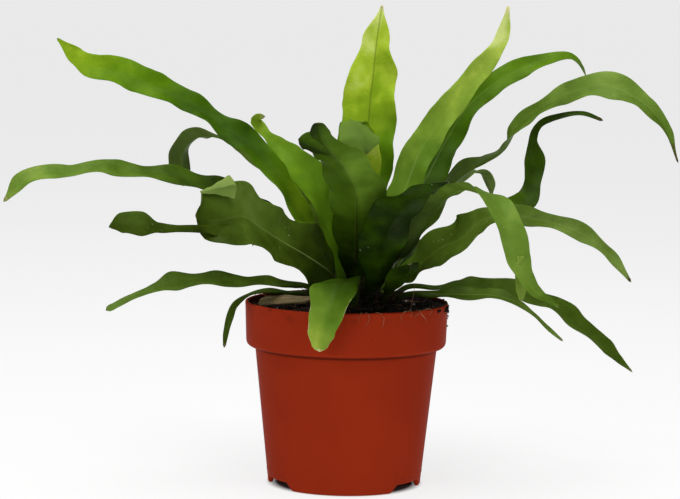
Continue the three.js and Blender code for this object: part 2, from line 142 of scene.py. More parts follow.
def turned(profile, columns):
    """Points and faces of a closed profile of rows (radius, height) turned about +Z. It starts and ends
    on the axis, where one point stands for the whole row. Radius and height may differ around it, so
    each is a number or an array of one value for each column."""
    bearing = np.linspace(0, 2 * np.pi, columns, endpoint=False)
    radius, height = (np.array([np.broadcast_to(row[k], columns) for row in profile[1:-1]]) for k in (0, 1))
    rows = np.stack([radius * np.cos(bearing), radius * np.sin(bearing), height], axis=-1)
    ends = [[0, 0, profile[0][1]], [0, 0, profile[-1][1]]]
    return np.concatenate([rows.reshape(-1, 3), ends]), tube_faces(len(rows), columns)


def add_object(name, data):
    """A new object in the scene."""
    thing = bpy.data.objects.new(name, data)
    bpy.context.scene.collection.objects.link(thing)
    return thing


def add_piece(name, points, faces, material, slot, attributes=(), uv=None):
    """A smooth mesh piece from points in millimetres, riding on the one body. faces is a list of arrays
    of corners, one array for each number of corners. attributes are numbers for each point, and uv is
    a pair for each point, in metres."""
    mesh = bpy.data.meshes.new(name)
    points = np.asarray(points, np.float32).reshape(-1, 3) * MM
    corners = np.concatenate([group.ravel() for group in faces]).astype(np.int32)
    counts = np.concatenate([np.full(len(group), group.shape[1]) for group in faces])
    mesh.vertices.add(len(points))
    mesh.vertices.foreach_set("co", points.ravel())
    mesh.loops.add(len(corners))
    mesh.loops.foreach_set("vertex_index", corners)
    mesh.polygons.add(len(counts))
    mesh.polygons.foreach_set("loop_start", (np.cumsum(counts) - counts).astype(np.int32))
    mesh.polygons.foreach_set("use_smooth", np.ones(len(counts), bool))
    for label, values in dict(attributes).items():
        layer = mesh.attributes.new(label, "FLOAT", "POINT")
        layer.data.foreach_set("value", np.asarray(values, np.float32).ravel())
    if uv is not None:
        layer = mesh.uv_layers.new(name="blade")
        layer.data.foreach_set("uv", np.asarray(uv, np.float32).reshape(-1, 2)[corners].ravel())
    mesh.update(calc_edges=True)
    mesh.validate()
    mesh.materials.append(material)
    piece = add_object(name, mesh)
    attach(piece, "root")
    return piece


def smoothstep(x, low, high):
    """0 below low, 1 above high, and an S-shaped passage 3w² - 2w³ between them."""
    w = np.clip((x - low) / (high - low), 0, 1)
    return w * w * (3 - 2 * w)


def unit(vectors):
    """Vectors of length 1."""
    return vectors / np.linalg.norm(vectors, axis=-1, keepdims=True)


def lattice_noise(x, y, size, seed):
    """Soft noise from -1 to 1 over a plane: random numbers on a square lattice of that size, with an
    S-shaped passage between neighbours, so it has no creases."""
    cells = 64
    table = np.random.default_rng(seed).uniform(-1, 1, (cells, cells))
    x, y = np.asarray(x, float) / size, np.asarray(y, float) / size
    i, j = np.floor(x).astype(int), np.floor(y).astype(int)
    u, v = smoothstep(x - i, 0, 1), smoothstep(y - j, 0, 1)
    near, far = (table[i % cells, (j + k) % cells] * (1 - u) + table[(i + 1) % cells, (j + k) % cells] * u
                 for k in (0, 1))
    return near * (1 - v) + far * v


# %% [markdown]
# ## Pot
#
# The pot is one thin injection moulding of polypropylene coloured like terracotta: a tapered body, a
# collar with a rolled lip, and a foot ring cut away between three feet so that water can run off.
# It could be bevelled from a cylinder, but a moulding of this kind is a turned shape apart from its
# foot, so it is a profile turned about the axis, whose lowest rows rise over each notch. Rows stand
# close together at a corner, which keeps it crisp under smooth shading.

# %% Pot sizes
POT_HEIGHT = 108.5
RIM_RADIUS = 60
COLLAR_FOOT_RADIUS = 59.1
COLLAR_FOOT = 82
COLLAR_ROUND = 3
CREASE_RADIUS = 54.6
BODY_TOP_RADIUS = 53.9
HEEL_RADIUS = 45.2
HEEL_ROUND = 1.2
WALL = 1.3
LIP_RADIUS = 1
BASE_UNDERSIDE = 4
BASE_THICKNESS = 1.3
NOTCH_COUNT = 3
NOTCH_BEARING = 87.5
NOTCH_HEIGHT = 4.6
NOTCH_FLOOR_WIDTH = 33
NOTCH_TOP_WIDTH = 23
DRAIN_RADIUS = 2.5
DRAIN_CIRCLE = 36
POT_COLUMNS = 240
FOOT_TOP = 9
MOULD_STEP = 0.12
CREASE_STEP = 0.25


def body_radius(z):
    """Outer radius of the body's straight taper."""
    return HEEL_RADIUS + (BODY_TOP_RADIUS - HEEL_RADIUS) * np.asarray(z, float) / COLLAR_FOOT


def arc(r, z, radius, start, end, steps):
    """Rows of a rounded corner about (r, z), from one angle to another in degrees."""
    angles = np.radians(np.linspace(start, end, steps + 1))
    return [(r + radius * math.cos(a), z + radius * math.sin(a)) for a in angles]


def notch_height(columns):
    """Height of the foot ring's underside for each column: 0 on a foot, and in a notch the height
    that its slanted ends reach at that distance from its middle."""
    bearing = np.linspace(0, 360, columns, endpoint=False)
    pitch = 360 / NOTCH_COUNT
    off = (bearing - NOTCH_BEARING + pitch / 2) % pitch - pitch / 2
    beside = np.abs(HEEL_RADIUS * np.sin(np.radians(off)))
    rise = (NOTCH_HEIGHT + 1) / ((NOTCH_FLOOR_WIDTH - NOTCH_TOP_WIDTH) / 2)
    return np.clip((NOTCH_FLOOR_WIDTH / 2 - beside) * rise - 1, 0, NOTCH_HEIGHT)


# %% Pot profile
lift = notch_height(POT_COLUMNS)


def over_notch(z):
    """Height of a row of the foot after the notches squeeze the rows below FOOT_TOP upwards."""
    return z + lift * (1 - z / FOOT_TOP)


foot_inside = HEEL_RADIUS - WALL - HEEL_ROUND
floor_top = BASE_UNDERSIDE + BASE_THICKNESS
collar_inside = COLLAR_FOOT_RADIUS - WALL
heel = arc(HEEL_RADIUS - HEEL_ROUND, HEEL_ROUND, HEEL_ROUND, -90, 0, 5)
pot_profile = [(0, BASE_UNDERSIDE), (foot_inside - 1.4, BASE_UNDERSIDE), (foot_inside - 1.1, BASE_UNDERSIDE)]
pot_profile += [(foot_inside - 1, np.maximum(lift, BASE_UNDERSIDE)), (foot_inside, lift + 0.2),
                (foot_inside + 0.2, lift)]
pot_profile += [(r + body_radius(over_notch(z)) - HEEL_RADIUS, over_notch(z)) for r, z in heel]
pot_profile += [(body_radius(over_notch(z)), over_notch(z)) for z in (2.4, 4, 6, 7.2)]
# the faint step that the mould's parting line leaves just above the feet
pot_profile += [(body_radius(7.6) + MOULD_STEP, 7.6), (body_radius(8.2) + MOULD_STEP, 8.2),
                (body_radius(FOOT_TOP), FOOT_TOP)]
pot_profile += [(body_radius(z), z) for z in np.linspace(12, COLLAR_FOOT - 3, 20)]
pot_profile += [(body_radius(COLLAR_FOOT - 1.2), COLLAR_FOOT - 1.2),
                (BODY_TOP_RADIUS - CREASE_STEP, COLLAR_FOOT - 0.6),
                (BODY_TOP_RADIUS - CREASE_STEP, COLLAR_FOOT - 0.2),
                (CREASE_RADIUS, COLLAR_FOOT)]
pot_profile += arc(COLLAR_FOOT_RADIUS - COLLAR_ROUND, COLLAR_FOOT + COLLAR_ROUND, COLLAR_ROUND, -82, 0, 8)
collar_wall = np.linspace(COLLAR_FOOT + COLLAR_ROUND + 1, POT_HEIGHT - 1.4, 8)
pot_profile += [(np.interp(z, [COLLAR_FOOT, POT_HEIGHT], [COLLAR_FOOT_RADIUS, RIM_RADIUS]), z)
                for z in collar_wall]
pot_profile += arc(RIM_RADIUS - LIP_RADIUS, POT_HEIGHT - LIP_RADIUS, LIP_RADIUS, 0, 180, 10)
pot_profile += [(collar_inside, POT_HEIGHT - 4), (collar_inside, COLLAR_FOOT + COLLAR_ROUND),
                (collar_inside - 1, COLLAR_FOOT + 2), (BODY_TOP_RADIUS - WALL, COLLAR_FOOT),
                (body_radius(40) - WALL, 40),
                (body_radius(floor_top + 1) - WALL, floor_top + 1),
                (body_radius(floor_top) - WALL - 1, floor_top), (0, floor_top)]
print("pot profile rows:", len(pot_profile))

# %% [markdown]
# ### The plastic
#
# The pot is polypropylene, coloured in the melt and moulded in a fine-blasted mould. It gives the eye
# an even, warm red-brown with a satin sheen, soft cloudy shifts in colour, a few dark specks of
# regrind and a faint orange-peel texture. The peat has left some dust below the rim. A near-black
# sheet on the collar's inside is painted shade over some peat dust, and a dark band in the crease is
# painted shade under the collar.

# %% Material: satin moulded polypropylene
pot_plastic, add = new_material("moulded_polypropylene")
place = add("TexCoord", give="Object")
height = add("SeparateXYZ", place, give="Z")
cloud = add("TexNoise", place, Scale=1 / (38 * MM), Detail=2)
clouded = add("Mix", cloud, in_6=linear("#8d2913"), in_7=linear("#9e3016"), **COLOURS)
speck_noise = add("TexNoise", place, Scale=1 / (1.3 * MM), Detail=1)
specks = add("MapRange", speck_noise, From_Min=0.74, From_Max=0.8)
speckled = add("Mix", specks, in_6=clouded, in_7=linear("#5e2013"), **COLOURS)

below_rim = add("MapRange", height, From_Min=99 * MM, From_Max=109 * MM)
dust_noise = add("TexNoise", place, Scale=1 / (6 * MM), Detail=4)
dust_patch = add("MapRange", dust_noise, From_Min=0.5, From_Max=0.72, To_Max=0.5)
dust_and_painted_shade = add("Math", dust_patch, below_rim, operation="MULTIPLY")
# painted shade over some peat dust: a near-black sheet on the collar's inside stands in for its shadow
flat = add("Mapping", place, Scale=(1, 1, 0))
from_axis = add("VectorMath", flat, operation="LENGTH", give="Value")
inside = add("MapRange", from_axis, From_Min=58.2 * MM, From_Max=59 * MM, To_Min=0.93, To_Max=0)
in_collar = add("MapRange", height, From_Min=86 * MM, From_Max=90 * MM)
painted_inside_shade = add("Math", inside, in_collar, operation="MULTIPLY")
# painted shade: a dark band in the crease under the collar stands in for the collar's shadow
above_crease = add("Math", height, (COLLAR_FOOT - 0.3) * MM, operation="SUBTRACT")
from_crease = add("Math", above_crease, operation="ABSOLUTE")
painted_crease_shade = add("MapRange", from_crease, From_Min=0.5 * MM, From_Max=1.6 * MM, To_Min=0.6, To_Max=0)
# the dust mask also takes in the painted shade of the collar's inside and of the crease
for layer in (painted_inside_shade, painted_crease_shade):
    dust_and_painted_shade = add("Math", dust_and_painted_shade, layer, operation="MAXIMUM")
dusty_and_shaded = add("Mix", dust_and_painted_shade, in_6=speckled, in_7=linear("#2a1710"), **COLOURS)

sheen_noise = add("TexNoise", place, Scale=1 / (22 * MM), Detail=3)
satin = add("MapRange", sheen_noise, To_Min=0.4, To_Max=0.54)
peel = add("TexNoise", place, Scale=1 / (0.9 * MM), Detail=1)
peel_bump = add("Bump", Strength=0.2, Distance=0.03 * MM, Height=peel)
add("OutputMaterial", Surface=add("BsdfPrincipled", Base_Color=dusty_and_shaded, Roughness=satin, Normal=peel_bump,
                                  IOR=1.45, Specular_IOR_Level=0.01))

# %% Pot piece
pot_points, pot_faces = turned(pot_profile, POT_COLUMNS)
pot = add_piece("pot_moulding", pot_points, pot_faces, pot_plastic, "pot_plastic")
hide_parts("pot")

# the drain holes are bored through the base plate, beside each notch, by rods from -3 to 12 mm
hole_bearings = np.radians(NOTCH_BEARING + 360 / NOTCH_COUNT * np.arange(NOTCH_COUNT))
rod = [(0, -3), (DRAIN_RADIUS, -3), (DRAIN_RADIUS, 12), (0, 12)]
drill_points, drill_faces = turned(rod, 24)
drills = np.concatenate([drill_points + [DRAIN_CIRCLE * math.cos(b), DRAIN_CIRCLE * math.sin(b), 0]
                         for b in hole_bearings])
cutter = add_piece("drain_drills", drills, repeated(drill_faces, NOTCH_COUNT, len(drill_points)),
                   pot_plastic, "pot_plastic")
boring = pot.modifiers.new("drain holes", "BOOLEAN")
boring.operation, boring.object, boring.solver = "DIFFERENCE", cutter, "EXACT"
bored = bpy.data.meshes.new_from_object(pot.evaluated_get(bpy.context.evaluated_depsgraph_get()))
pot.modifiers.clear()
pot.data = bored
bpy.data.objects.remove(cutter)
print("pot faces:", len(pot.data.polygons))

# %% [markdown]
# ## Peat
#
# The pot is filled with black peat to just under the rim, heaped a little to the back right. Peat is
# a mass of crumbs, so a flat disc would never do. Its surface is a polar grid whose height adds the
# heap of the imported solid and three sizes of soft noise, and loose crumbs lie on it.

# %% Peat sizes and height
GAP = 0.3
SOIL_LEVEL = 104
SOIL_HEAP = 2.4
SOIL_HEAP_BEARING = 50
SOIL_MOUND = 4
CROWN_X = 4
CROWN_RADIUS = 25
CROWN_FLOOR = 95
CROWN_SHOULDER = 107
CROWN_TOP = 114
CROWN_HOLLOW = 9
OPEN_RADIUS = 55
SOCKET_FLOOR = 101
SOIL_COLUMNS = 288
SOIL_ROWS = 78
# height, size and seed of each of the three noises that roughen the peat
CRUMB_NOISES = ((1.1, 8, 11), (0.9, 3.4, 12), (0.5, 1.5, 13))


def soil_height(x, y):
    """Height of the peat: its level, a heap that slopes up towards one bearing, a mound round the
    crown, low lumps, and crumbs as noise of 8, 3.4 and 1.5 mm."""
    bearing = math.radians(SOIL_HEAP_BEARING)
    slope = (x * math.cos(bearing) + y * math.sin(bearing)) / RIM_RADIUS
    lumps = 0.7 * np.sin(x / 5.3 + 1) * np.cos(y / 4.7) + 0.5 * np.sin((x - y) / 3.1)
    out = np.hypot(x - CROWN_X, y) / RIM_RADIUS
    mound = SOIL_MOUND * np.maximum(0, 1 - 1.1 * out)
    crumbs = sum(height * lattice_noise(x, y, size, seed) for height, size, seed in CRUMB_NOISES)
    return SOIL_LEVEL + SOIL_HEAP * slope + mound + lumps + crumbs


# %% Material: damp black peat
peat, add = new_material("damp_black_peat")
place = add("TexCoord", give="Object")
grain = add("TexNoise", place, Scale=1 / (2.2 * MM), Detail=6)
brown = add("ValToRGB", grain, stops=[(0.35, "#080605"), (0.55, "#150f0c"), (0.75, "#2e2117")])
pit = add("TexVoronoi", place, Scale=1 / (1.8 * MM))
peat_bump = add("Bump", Strength=0.8, Distance=0.6 * MM, Height=pit)
add("OutputMaterial", Surface=add("BsdfPrincipled", Base_Color=brown, Roughness=0.92, Normal=peat_bump,
                                  Specular_IOR_Level=0.2))

# %% Peat piece
soil_wall = body_radius(COLLAR_FOOT) - WALL - GAP
soil_rim = collar_inside - GAP - 0.2
soil_foot = body_radius(floor_top) - WALL - GAP
bearing = np.linspace(0, 2 * np.pi, SOIL_COLUMNS, endpoint=False)


def soil_row(radius):
    """A row of the peat's top: its height follows the ground, and sinks under the crown."""
    x, y = radius * np.cos(bearing), radius * np.sin(bearing)
    under_crown = smoothstep(-np.hypot(x - CROWN_X, y), -CROWN_RADIUS + 1, -CROWN_RADIUS + 4)
    return radius, soil_height(x, y) - CROWN_HOLLOW * under_crown


soil_profile = [(0, floor_top + GAP), (soil_foot - 1.2, floor_top + GAP), (soil_foot, floor_top + 1.6),
                (soil_wall, COLLAR_FOOT), (soil_wall, COLLAR_FOOT + 2.4),
                (soil_rim - 1.4, COLLAR_FOOT + COLLAR_ROUND), (soil_rim, COLLAR_FOOT + 6),
                (soil_rim, SOIL_LEVEL - 3)]
soil_profile += [soil_row(r) for r in np.linspace(soil_rim, 1, SOIL_ROWS)]
soil_profile += [(0, SOIL_LEVEL - 3)]
soil = add_piece("peat_filling", *turned(soil_profile, SOIL_COLUMNS), peat, "peat")
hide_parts("soil")
print("peat faces:", len(soil.data.polygons))

# %% [markdown]
# ### Crumbs, perlite and fibres
#
# Loose crumbs of peat, a few white grains of perlite and straw-coloured fibres lie on the peat, and
# some have spilled over the rim. Each crumb is a small lump of a few dozen faces whose radius
# wavers, and each fibre is a thin tube along a wandering path. All of one kind are one mesh.

# %% Crumb and fibre helpers
chance = np.random.default_rng(20)


def lumps_at(places, sizes):
    """Points and faces of small lumps: for each, a ball of 4 rows and 7 columns with its poles, whose
    every radius is a random 0.7 to 1.25 times its size."""
    rows, columns = 4, 7
    tilt = np.linspace(0, np.pi, rows + 2)[1:-1, None]
    turn = np.linspace(0, 2 * np.pi, columns, endpoint=False)[None, :]
    ball = np.stack([np.sin(tilt) * np.cos(turn), np.sin(tilt) * np.sin(turn),
                     np.cos(tilt) + 0 * turn], axis=-1).reshape(-1, 3)
    ball = np.concatenate([ball, [[0, 0, 1], [0, 0, -1]]])
    radii = np.asarray(sizes)[:, None] * chance.uniform(0.7, 1.25, (len(places), len(ball)))
    points = np.asarray(places)[:, None, :] + ball[None] * radii[..., None]
    return points.reshape(-1, 3), repeated(tube_faces(rows, columns, True), len(places), len(ball))


def tubes_along(paths, radii, sides=5):
    """Points and faces of thin tubes: round each point of each path a ring of that radius, square to
    the path, and one more point at each end, where the tube closes."""
    paths = np.asarray(paths, float)
    tubes, steps, _ = paths.shape
    tangent = unit(np.gradient(paths, axis=1))
    across = unit(np.cross(tangent, [0.31, 0.87, 0.38]))
    other = np.cross(tangent, across)
    turn = np.linspace(0, 2 * np.pi, sides, endpoint=False)
    taper = np.asarray(radii)[:, None] * np.interp(np.arange(steps), [0, 1, steps - 2, steps - 1],
                                                   [0.6, 1, 0.8, 0.4])[None]
    ring = across[:, :, None] * np.cos(turn)[:, None] + other[:, :, None] * np.sin(turn)[:, None]
    points = (paths[:, :, None] + ring * taper[:, :, None, None]).reshape(tubes, -1, 3)
    points = np.concatenate([points, paths[:, [0, -1]]], axis=1)
    return points.reshape(-1, 3), repeated(tube_faces(steps, sides), tubes, points.shape[1])


def on_soil(count, inner, outer, sink):
    """Random places on the peat between two distances from the crown's middle, sunk a little."""
    angle = chance.uniform(0, 2 * np.pi, count)
    out = np.sqrt(chance.uniform(inner**2, outer**2, count))
    x, y = CROWN_X * (1 - out / outer) + out * np.cos(angle), out * np.sin(angle)
    return np.stack([x, y, soil_height(x, y) - sink], axis=-1)


# %% Loose crumbs and perlite
CRUMB_COUNT = 420
SPILL_COUNT = 44
PERLITE_COUNT = 24
# clumps of crumbs on the lip and the collar at the right, where the pot was filled from: the bearing
# in degrees, how far below the rim, and how far they scatter down it, in millimetres
CLUMPS = np.array([(-27, 0, 1), (-15, 0, 2), (-4, 3, 5), (8, 1, 2)])

crumb_sizes = chance.uniform(0.5, 1.7, CRUMB_COUNT)
crumb_places = on_soil(CRUMB_COUNT, CROWN_RADIUS - 1, OPEN_RADIUS + 0.5, 0.2)
clump_bearing, clump_drop, clump_scatter = CLUMPS[chance.integers(0, len(CLUMPS), SPILL_COUNT)].T
spill_bearing = np.radians(clump_bearing + chance.normal(0, 4, SPILL_COUNT))
spill_drop = np.abs(clump_drop + chance.normal(0, 1, SPILL_COUNT) * clump_scatter)
on_lip = spill_drop < 1.5
spill_out = np.where(on_lip, RIM_RADIUS - 1.2, RIM_RADIUS - 0.033 * spill_drop + 0.3)
spill_places = np.stack([spill_out * np.cos(spill_bearing), spill_out * np.sin(spill_bearing),
                         np.where(on_lip, POT_HEIGHT + 0.2, POT_HEIGHT - spill_drop)], axis=-1)
spill_sizes = chance.uniform(0.25, 1.1, SPILL_COUNT) * np.where(spill_drop < 5, 1, 0.6)
crumbs = add_piece("peat_crumbs", *lumps_at(np.concatenate([crumb_places, spill_places]),
                                            np.concatenate([crumb_sizes, spill_sizes])), peat, "peat")
print("crumbs:", CRUMB_COUNT + SPILL_COUNT, "faces:", len(crumbs.data.polygons))

perlite, add = new_material("expanded_perlite")
pores = add("TexNoise", add("TexCoord", give="Object"), Scale=1 / (0.7 * MM), Detail=3)
chalk = add("ValToRGB", pores, stops=[(0.35, "#8d867a"), (0.6, "#e6e1d6")])
pore_bump = add("Bump", Strength=0.6, Distance=0.2 * MM, Height=pores)
add("OutputMaterial", Surface=add("BsdfPrincipled", Base_Color=chalk, Roughness=0.85, Normal=pore_bump))
grain_places = on_soil(PERLITE_COUNT, CROWN_RADIUS + 2, OPEN_RADIUS, 0)
grain_sizes = chance.uniform(0.35, 0.8, PERLITE_COUNT)
add_piece("perlite_grains", *lumps_at(grain_places, grain_sizes), perlite, "peat")

# %% [markdown]
# ### Fibres
#
# Dry roots and straw are drawn 0.2 to 0.3 mm thick, near the real 0.1 to 0.3 mm, so that they still
# show as lines in the render. Those on the peat lie at random. Those over the rim and the few that
# stand are listed one by one, since each of them shows.

# %% Fibres over the rim and on the peat
straw, add = new_material("dry_root_fibre")
fade = add("TexNoise", add("TexCoord", give="Object"), Scale=1 / (5 * MM), Detail=2)
dry_root = add("ValToRGB", fade, stops=[(0.3, "#5f3620"), (0.55, "#9a6c48"), (0.75, "#cbb193")])
add("OutputMaterial", Surface=add("BsdfPrincipled", Base_Color=dry_root, Roughness=0.7))

FIBRE_STEPS = 9
LYING_COUNT = 60
along_fibre = np.linspace(0, 1, FIBRE_STEPS)[None]


def lying_fibres(count):
    """Fibres on the peat: a straight run of 8 to 22 mm bent sideways by a half wave, each point just
    above the peat."""
    start = on_soil(count, CROWN_RADIUS + 1, OPEN_RADIUS - 5, 0)[:, None, :2]
    way = chance.uniform(0, 2 * np.pi, count)[:, None]
    run = along_fibre * chance.uniform(8, 22, count)[:, None]
    bend = np.sin(np.pi * along_fibre) * chance.uniform(-3, 3, count)[:, None]
    x = start[..., 0] + run * np.cos(way) - bend * np.sin(way)
    y = start[..., 1] + run * np.sin(way) + bend * np.cos(way)
    inside = np.minimum(1, OPEN_RADIUS / np.hypot(x, y))
    x, y = x * inside, y * inside
    return np.stack([x, y, soil_height(x, y) + 0.35], axis=-1)


def rim_fibres(rows):
    """Fibres over the rim, one for each row of a bearing in degrees, how far it leans sideways as it
    goes, in degrees, and how far it hangs down outside the collar, in millimetres."""
    bearing, lean, drop = np.array(rows, float).T[..., None]
    angle = np.radians(bearing + lean * along_fibre + 1.5 * np.sin(along_fibre * 8 + drop))
    out = np.interp(along_fibre, [0, 0.35, 0.5, 0.65, 1], [53.5, 57.5, 59.6, 60.5, 60.4])
    out = out + 0.5 * np.sin(along_fibre * 9 + drop) * (along_fibre > 0.7)
    top = np.interp(along_fibre, [0, 0.35, 0.5, 0.65], [105, 108.6, 109, 108])
    height = np.where(along_fibre <= 0.65, top, 108 - drop * (along_fibre - 0.65) / 0.35)
    return np.stack([out * np.cos(angle), out * np.sin(angle), height], axis=-1)


def standing_fibres(rows):
    """Straws that stand in the peat, one for each row of its foot x and y and its top x, y and z."""
    x, y, top_x, top_y, top_z = np.array(rows, float).T[..., None]
    foot = soil_height(x, y) - 0.5
    return np.stack([x + (top_x - x) * along_fibre, y + (top_y - y) * along_fibre**1.3,
                     foot + (top_z - foot) * along_fibre], axis=-1)


HANGING = [(-84, 2, 4), (-77, -3, 8), (-74, 4, 8), (-56, 5, 3), (-53, -6, 5), (-48, 6, 6), (-44, -4, 3),
           (-39, 4, 3), (-12, 5, 6), (-3, -6, 5), (40, 9, 4), (95, -7, 6), (150, 8, 3)]
STANDING = [(37, -18, 40, -20, 122), (-55, -18, -57.6, -17, 110), (-51, -23, -54, -24, 110),
            (-49, -27, -51, -28, 109), (49, 12, 53, 14, 113)]
fibre_paths = np.concatenate([lying_fibres(LYING_COUNT), rim_fibres(HANGING), standing_fibres(STANDING)])
fibre_points, fibre_faces = tubes_along(fibre_paths, chance.uniform(0.09, 0.15, len(fibre_paths)))
fibres = add_piece("root_fibres", fibre_points, fibre_faces, straw, "peat")
print("fibres:", len(fibre_paths), "faces:", len(fibres.data.polygons))

# %% [markdown]
# ## Crown
#
# All stalks rise from the crown, a short upright rhizome wrapped in dark brown papery scales. The
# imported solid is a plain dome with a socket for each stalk. Here the dome gets a rough skin, and some
# hundreds of narrow scales that taper to a hair stand up and outwards between the stalks.

# %% Crown piece
scale_brown, add = new_material("papery_rhizome_scale")
streak = add("TexNoise", add("TexCoord", give="Object"), Scale=1 / (1.6 * MM), Detail=4)
umber = add("ValToRGB", streak, stops=[(0.3, "#120c07"), (0.55, "#2b1d10"), (0.8, "#543a20")])
add("OutputMaterial", Surface=add("BsdfPrincipled", Base_Color=umber, Roughness=0.75,
                                  Specular_IOR_Level=0.35))

DOME_RADII = [0, 7.5, 15, 21.5, 25]
DOME_HEIGHTS = [CROWN_TOP, CROWN_TOP - 0.6, CROWN_TOP - 1.8, CROWN_SHOULDER + 3, CROWN_SHOULDER]
SKIN_ROUGHNESS = 0.7


def dome_height(out):
    """Height of the crown's dome at a distance from its middle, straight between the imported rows."""
    return np.interp(out, DOME_RADII, DOME_HEIGHTS)


dome_rows = [(0, CROWN_FLOOR), (CROWN_RADIUS, CROWN_FLOOR), (CROWN_RADIUS, CROWN_SHOULDER)]
dome_rows += [(r, dome_height(r)) for r in np.linspace(CROWN_RADIUS - 0.6, 1, 24)] + [(0, CROWN_TOP)]
dome_points, dome_faces = turned(dome_rows, 72)
rough = lattice_noise(dome_points[:, 0] * 1.3, dome_points[:, 1] * 1.3, 2, 31)
dome_points[:, 2] += np.where(dome_points[:, 2] > CROWN_SHOULDER, SKIN_ROUGHNESS * rough, 0)
dome_points[:, 0] += CROWN_X
crown = add_piece("crown_dome", dome_points, dome_faces, scale_brown, "crown_scales")
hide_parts("crown")

SCALE_COUNT = 460
SCALE_STEPS = 6
SCALE_REACH = 24.5


def scale_paths():
    """Paths of the scales: each starts in the dome, and rises 4 to 11 mm while it leans outwards, more
    so far from the middle."""
    angle = chance.uniform(0, 2 * np.pi, SCALE_COUNT)[:, None]
    out = SCALE_REACH * np.sqrt(chance.uniform(0, 1, SCALE_COUNT))[:, None]
    share = np.linspace(0, 1, SCALE_STEPS)[None]
    length = chance.uniform(4, 11, SCALE_COUNT)[:, None]
    lean = out / SCALE_REACH * 0.9 + chance.uniform(-0.25, 0.25, SCALE_COUNT)[:, None]
    reach = length * share * np.sin(lean) * (0.6 + 0.6 * share)
    rise = length * share * np.cos(lean)
    way = angle + chance.uniform(-0.5, 0.5, SCALE_COUNT)[:, None]
    return np.stack([CROWN_X + out * np.cos(angle) + reach * np.cos(way),
                     out * np.sin(angle) + reach * np.sin(way), dome_height(out) - 0.8 + rise], axis=-1)


scale_points, scale_faces = tubes_along(scale_paths(), chance.uniform(0.25, 0.5, SCALE_COUNT))
scales = add_piece("crown_scales", scale_points, scale_faces, scale_brown, "crown_scales")
print("crown scales:", SCALE_COUNT, "faces:", len(scales.data.polygons))

# %% [markdown]
# ## Fronds
#
# A bird's-nest fern's frond is one undivided blade: a stiff midrib with a keel below, and a thin
# waxy lamina on both sides whose edges ruffle. A frond could be sculpted, but its solid in the
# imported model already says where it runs. So the same stations and the same formulas are used here,
# on a much finer grid, and then the keel, the thin edge and fine ripples are added.
#
# Each row of the table is a frond: the bearing it leans to, the ring and bearing of its root on the
# crown, and the stations of its midrib. A station is x, y, z, the blade's width, all in millimetres,
# and the blade's turn about the midrib in degrees: 0 is a blade that lies level across.

# %% Frond stations


@dataclass
class Frond:
    """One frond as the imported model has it: where it leans to, the ring and bearing of its root, its
    stations, and those of each of its lobes."""
    lean: float
    ring: str
    bearing: float
    stations: list
    lobes: list = field(default_factory=list)
    dry: bool = False


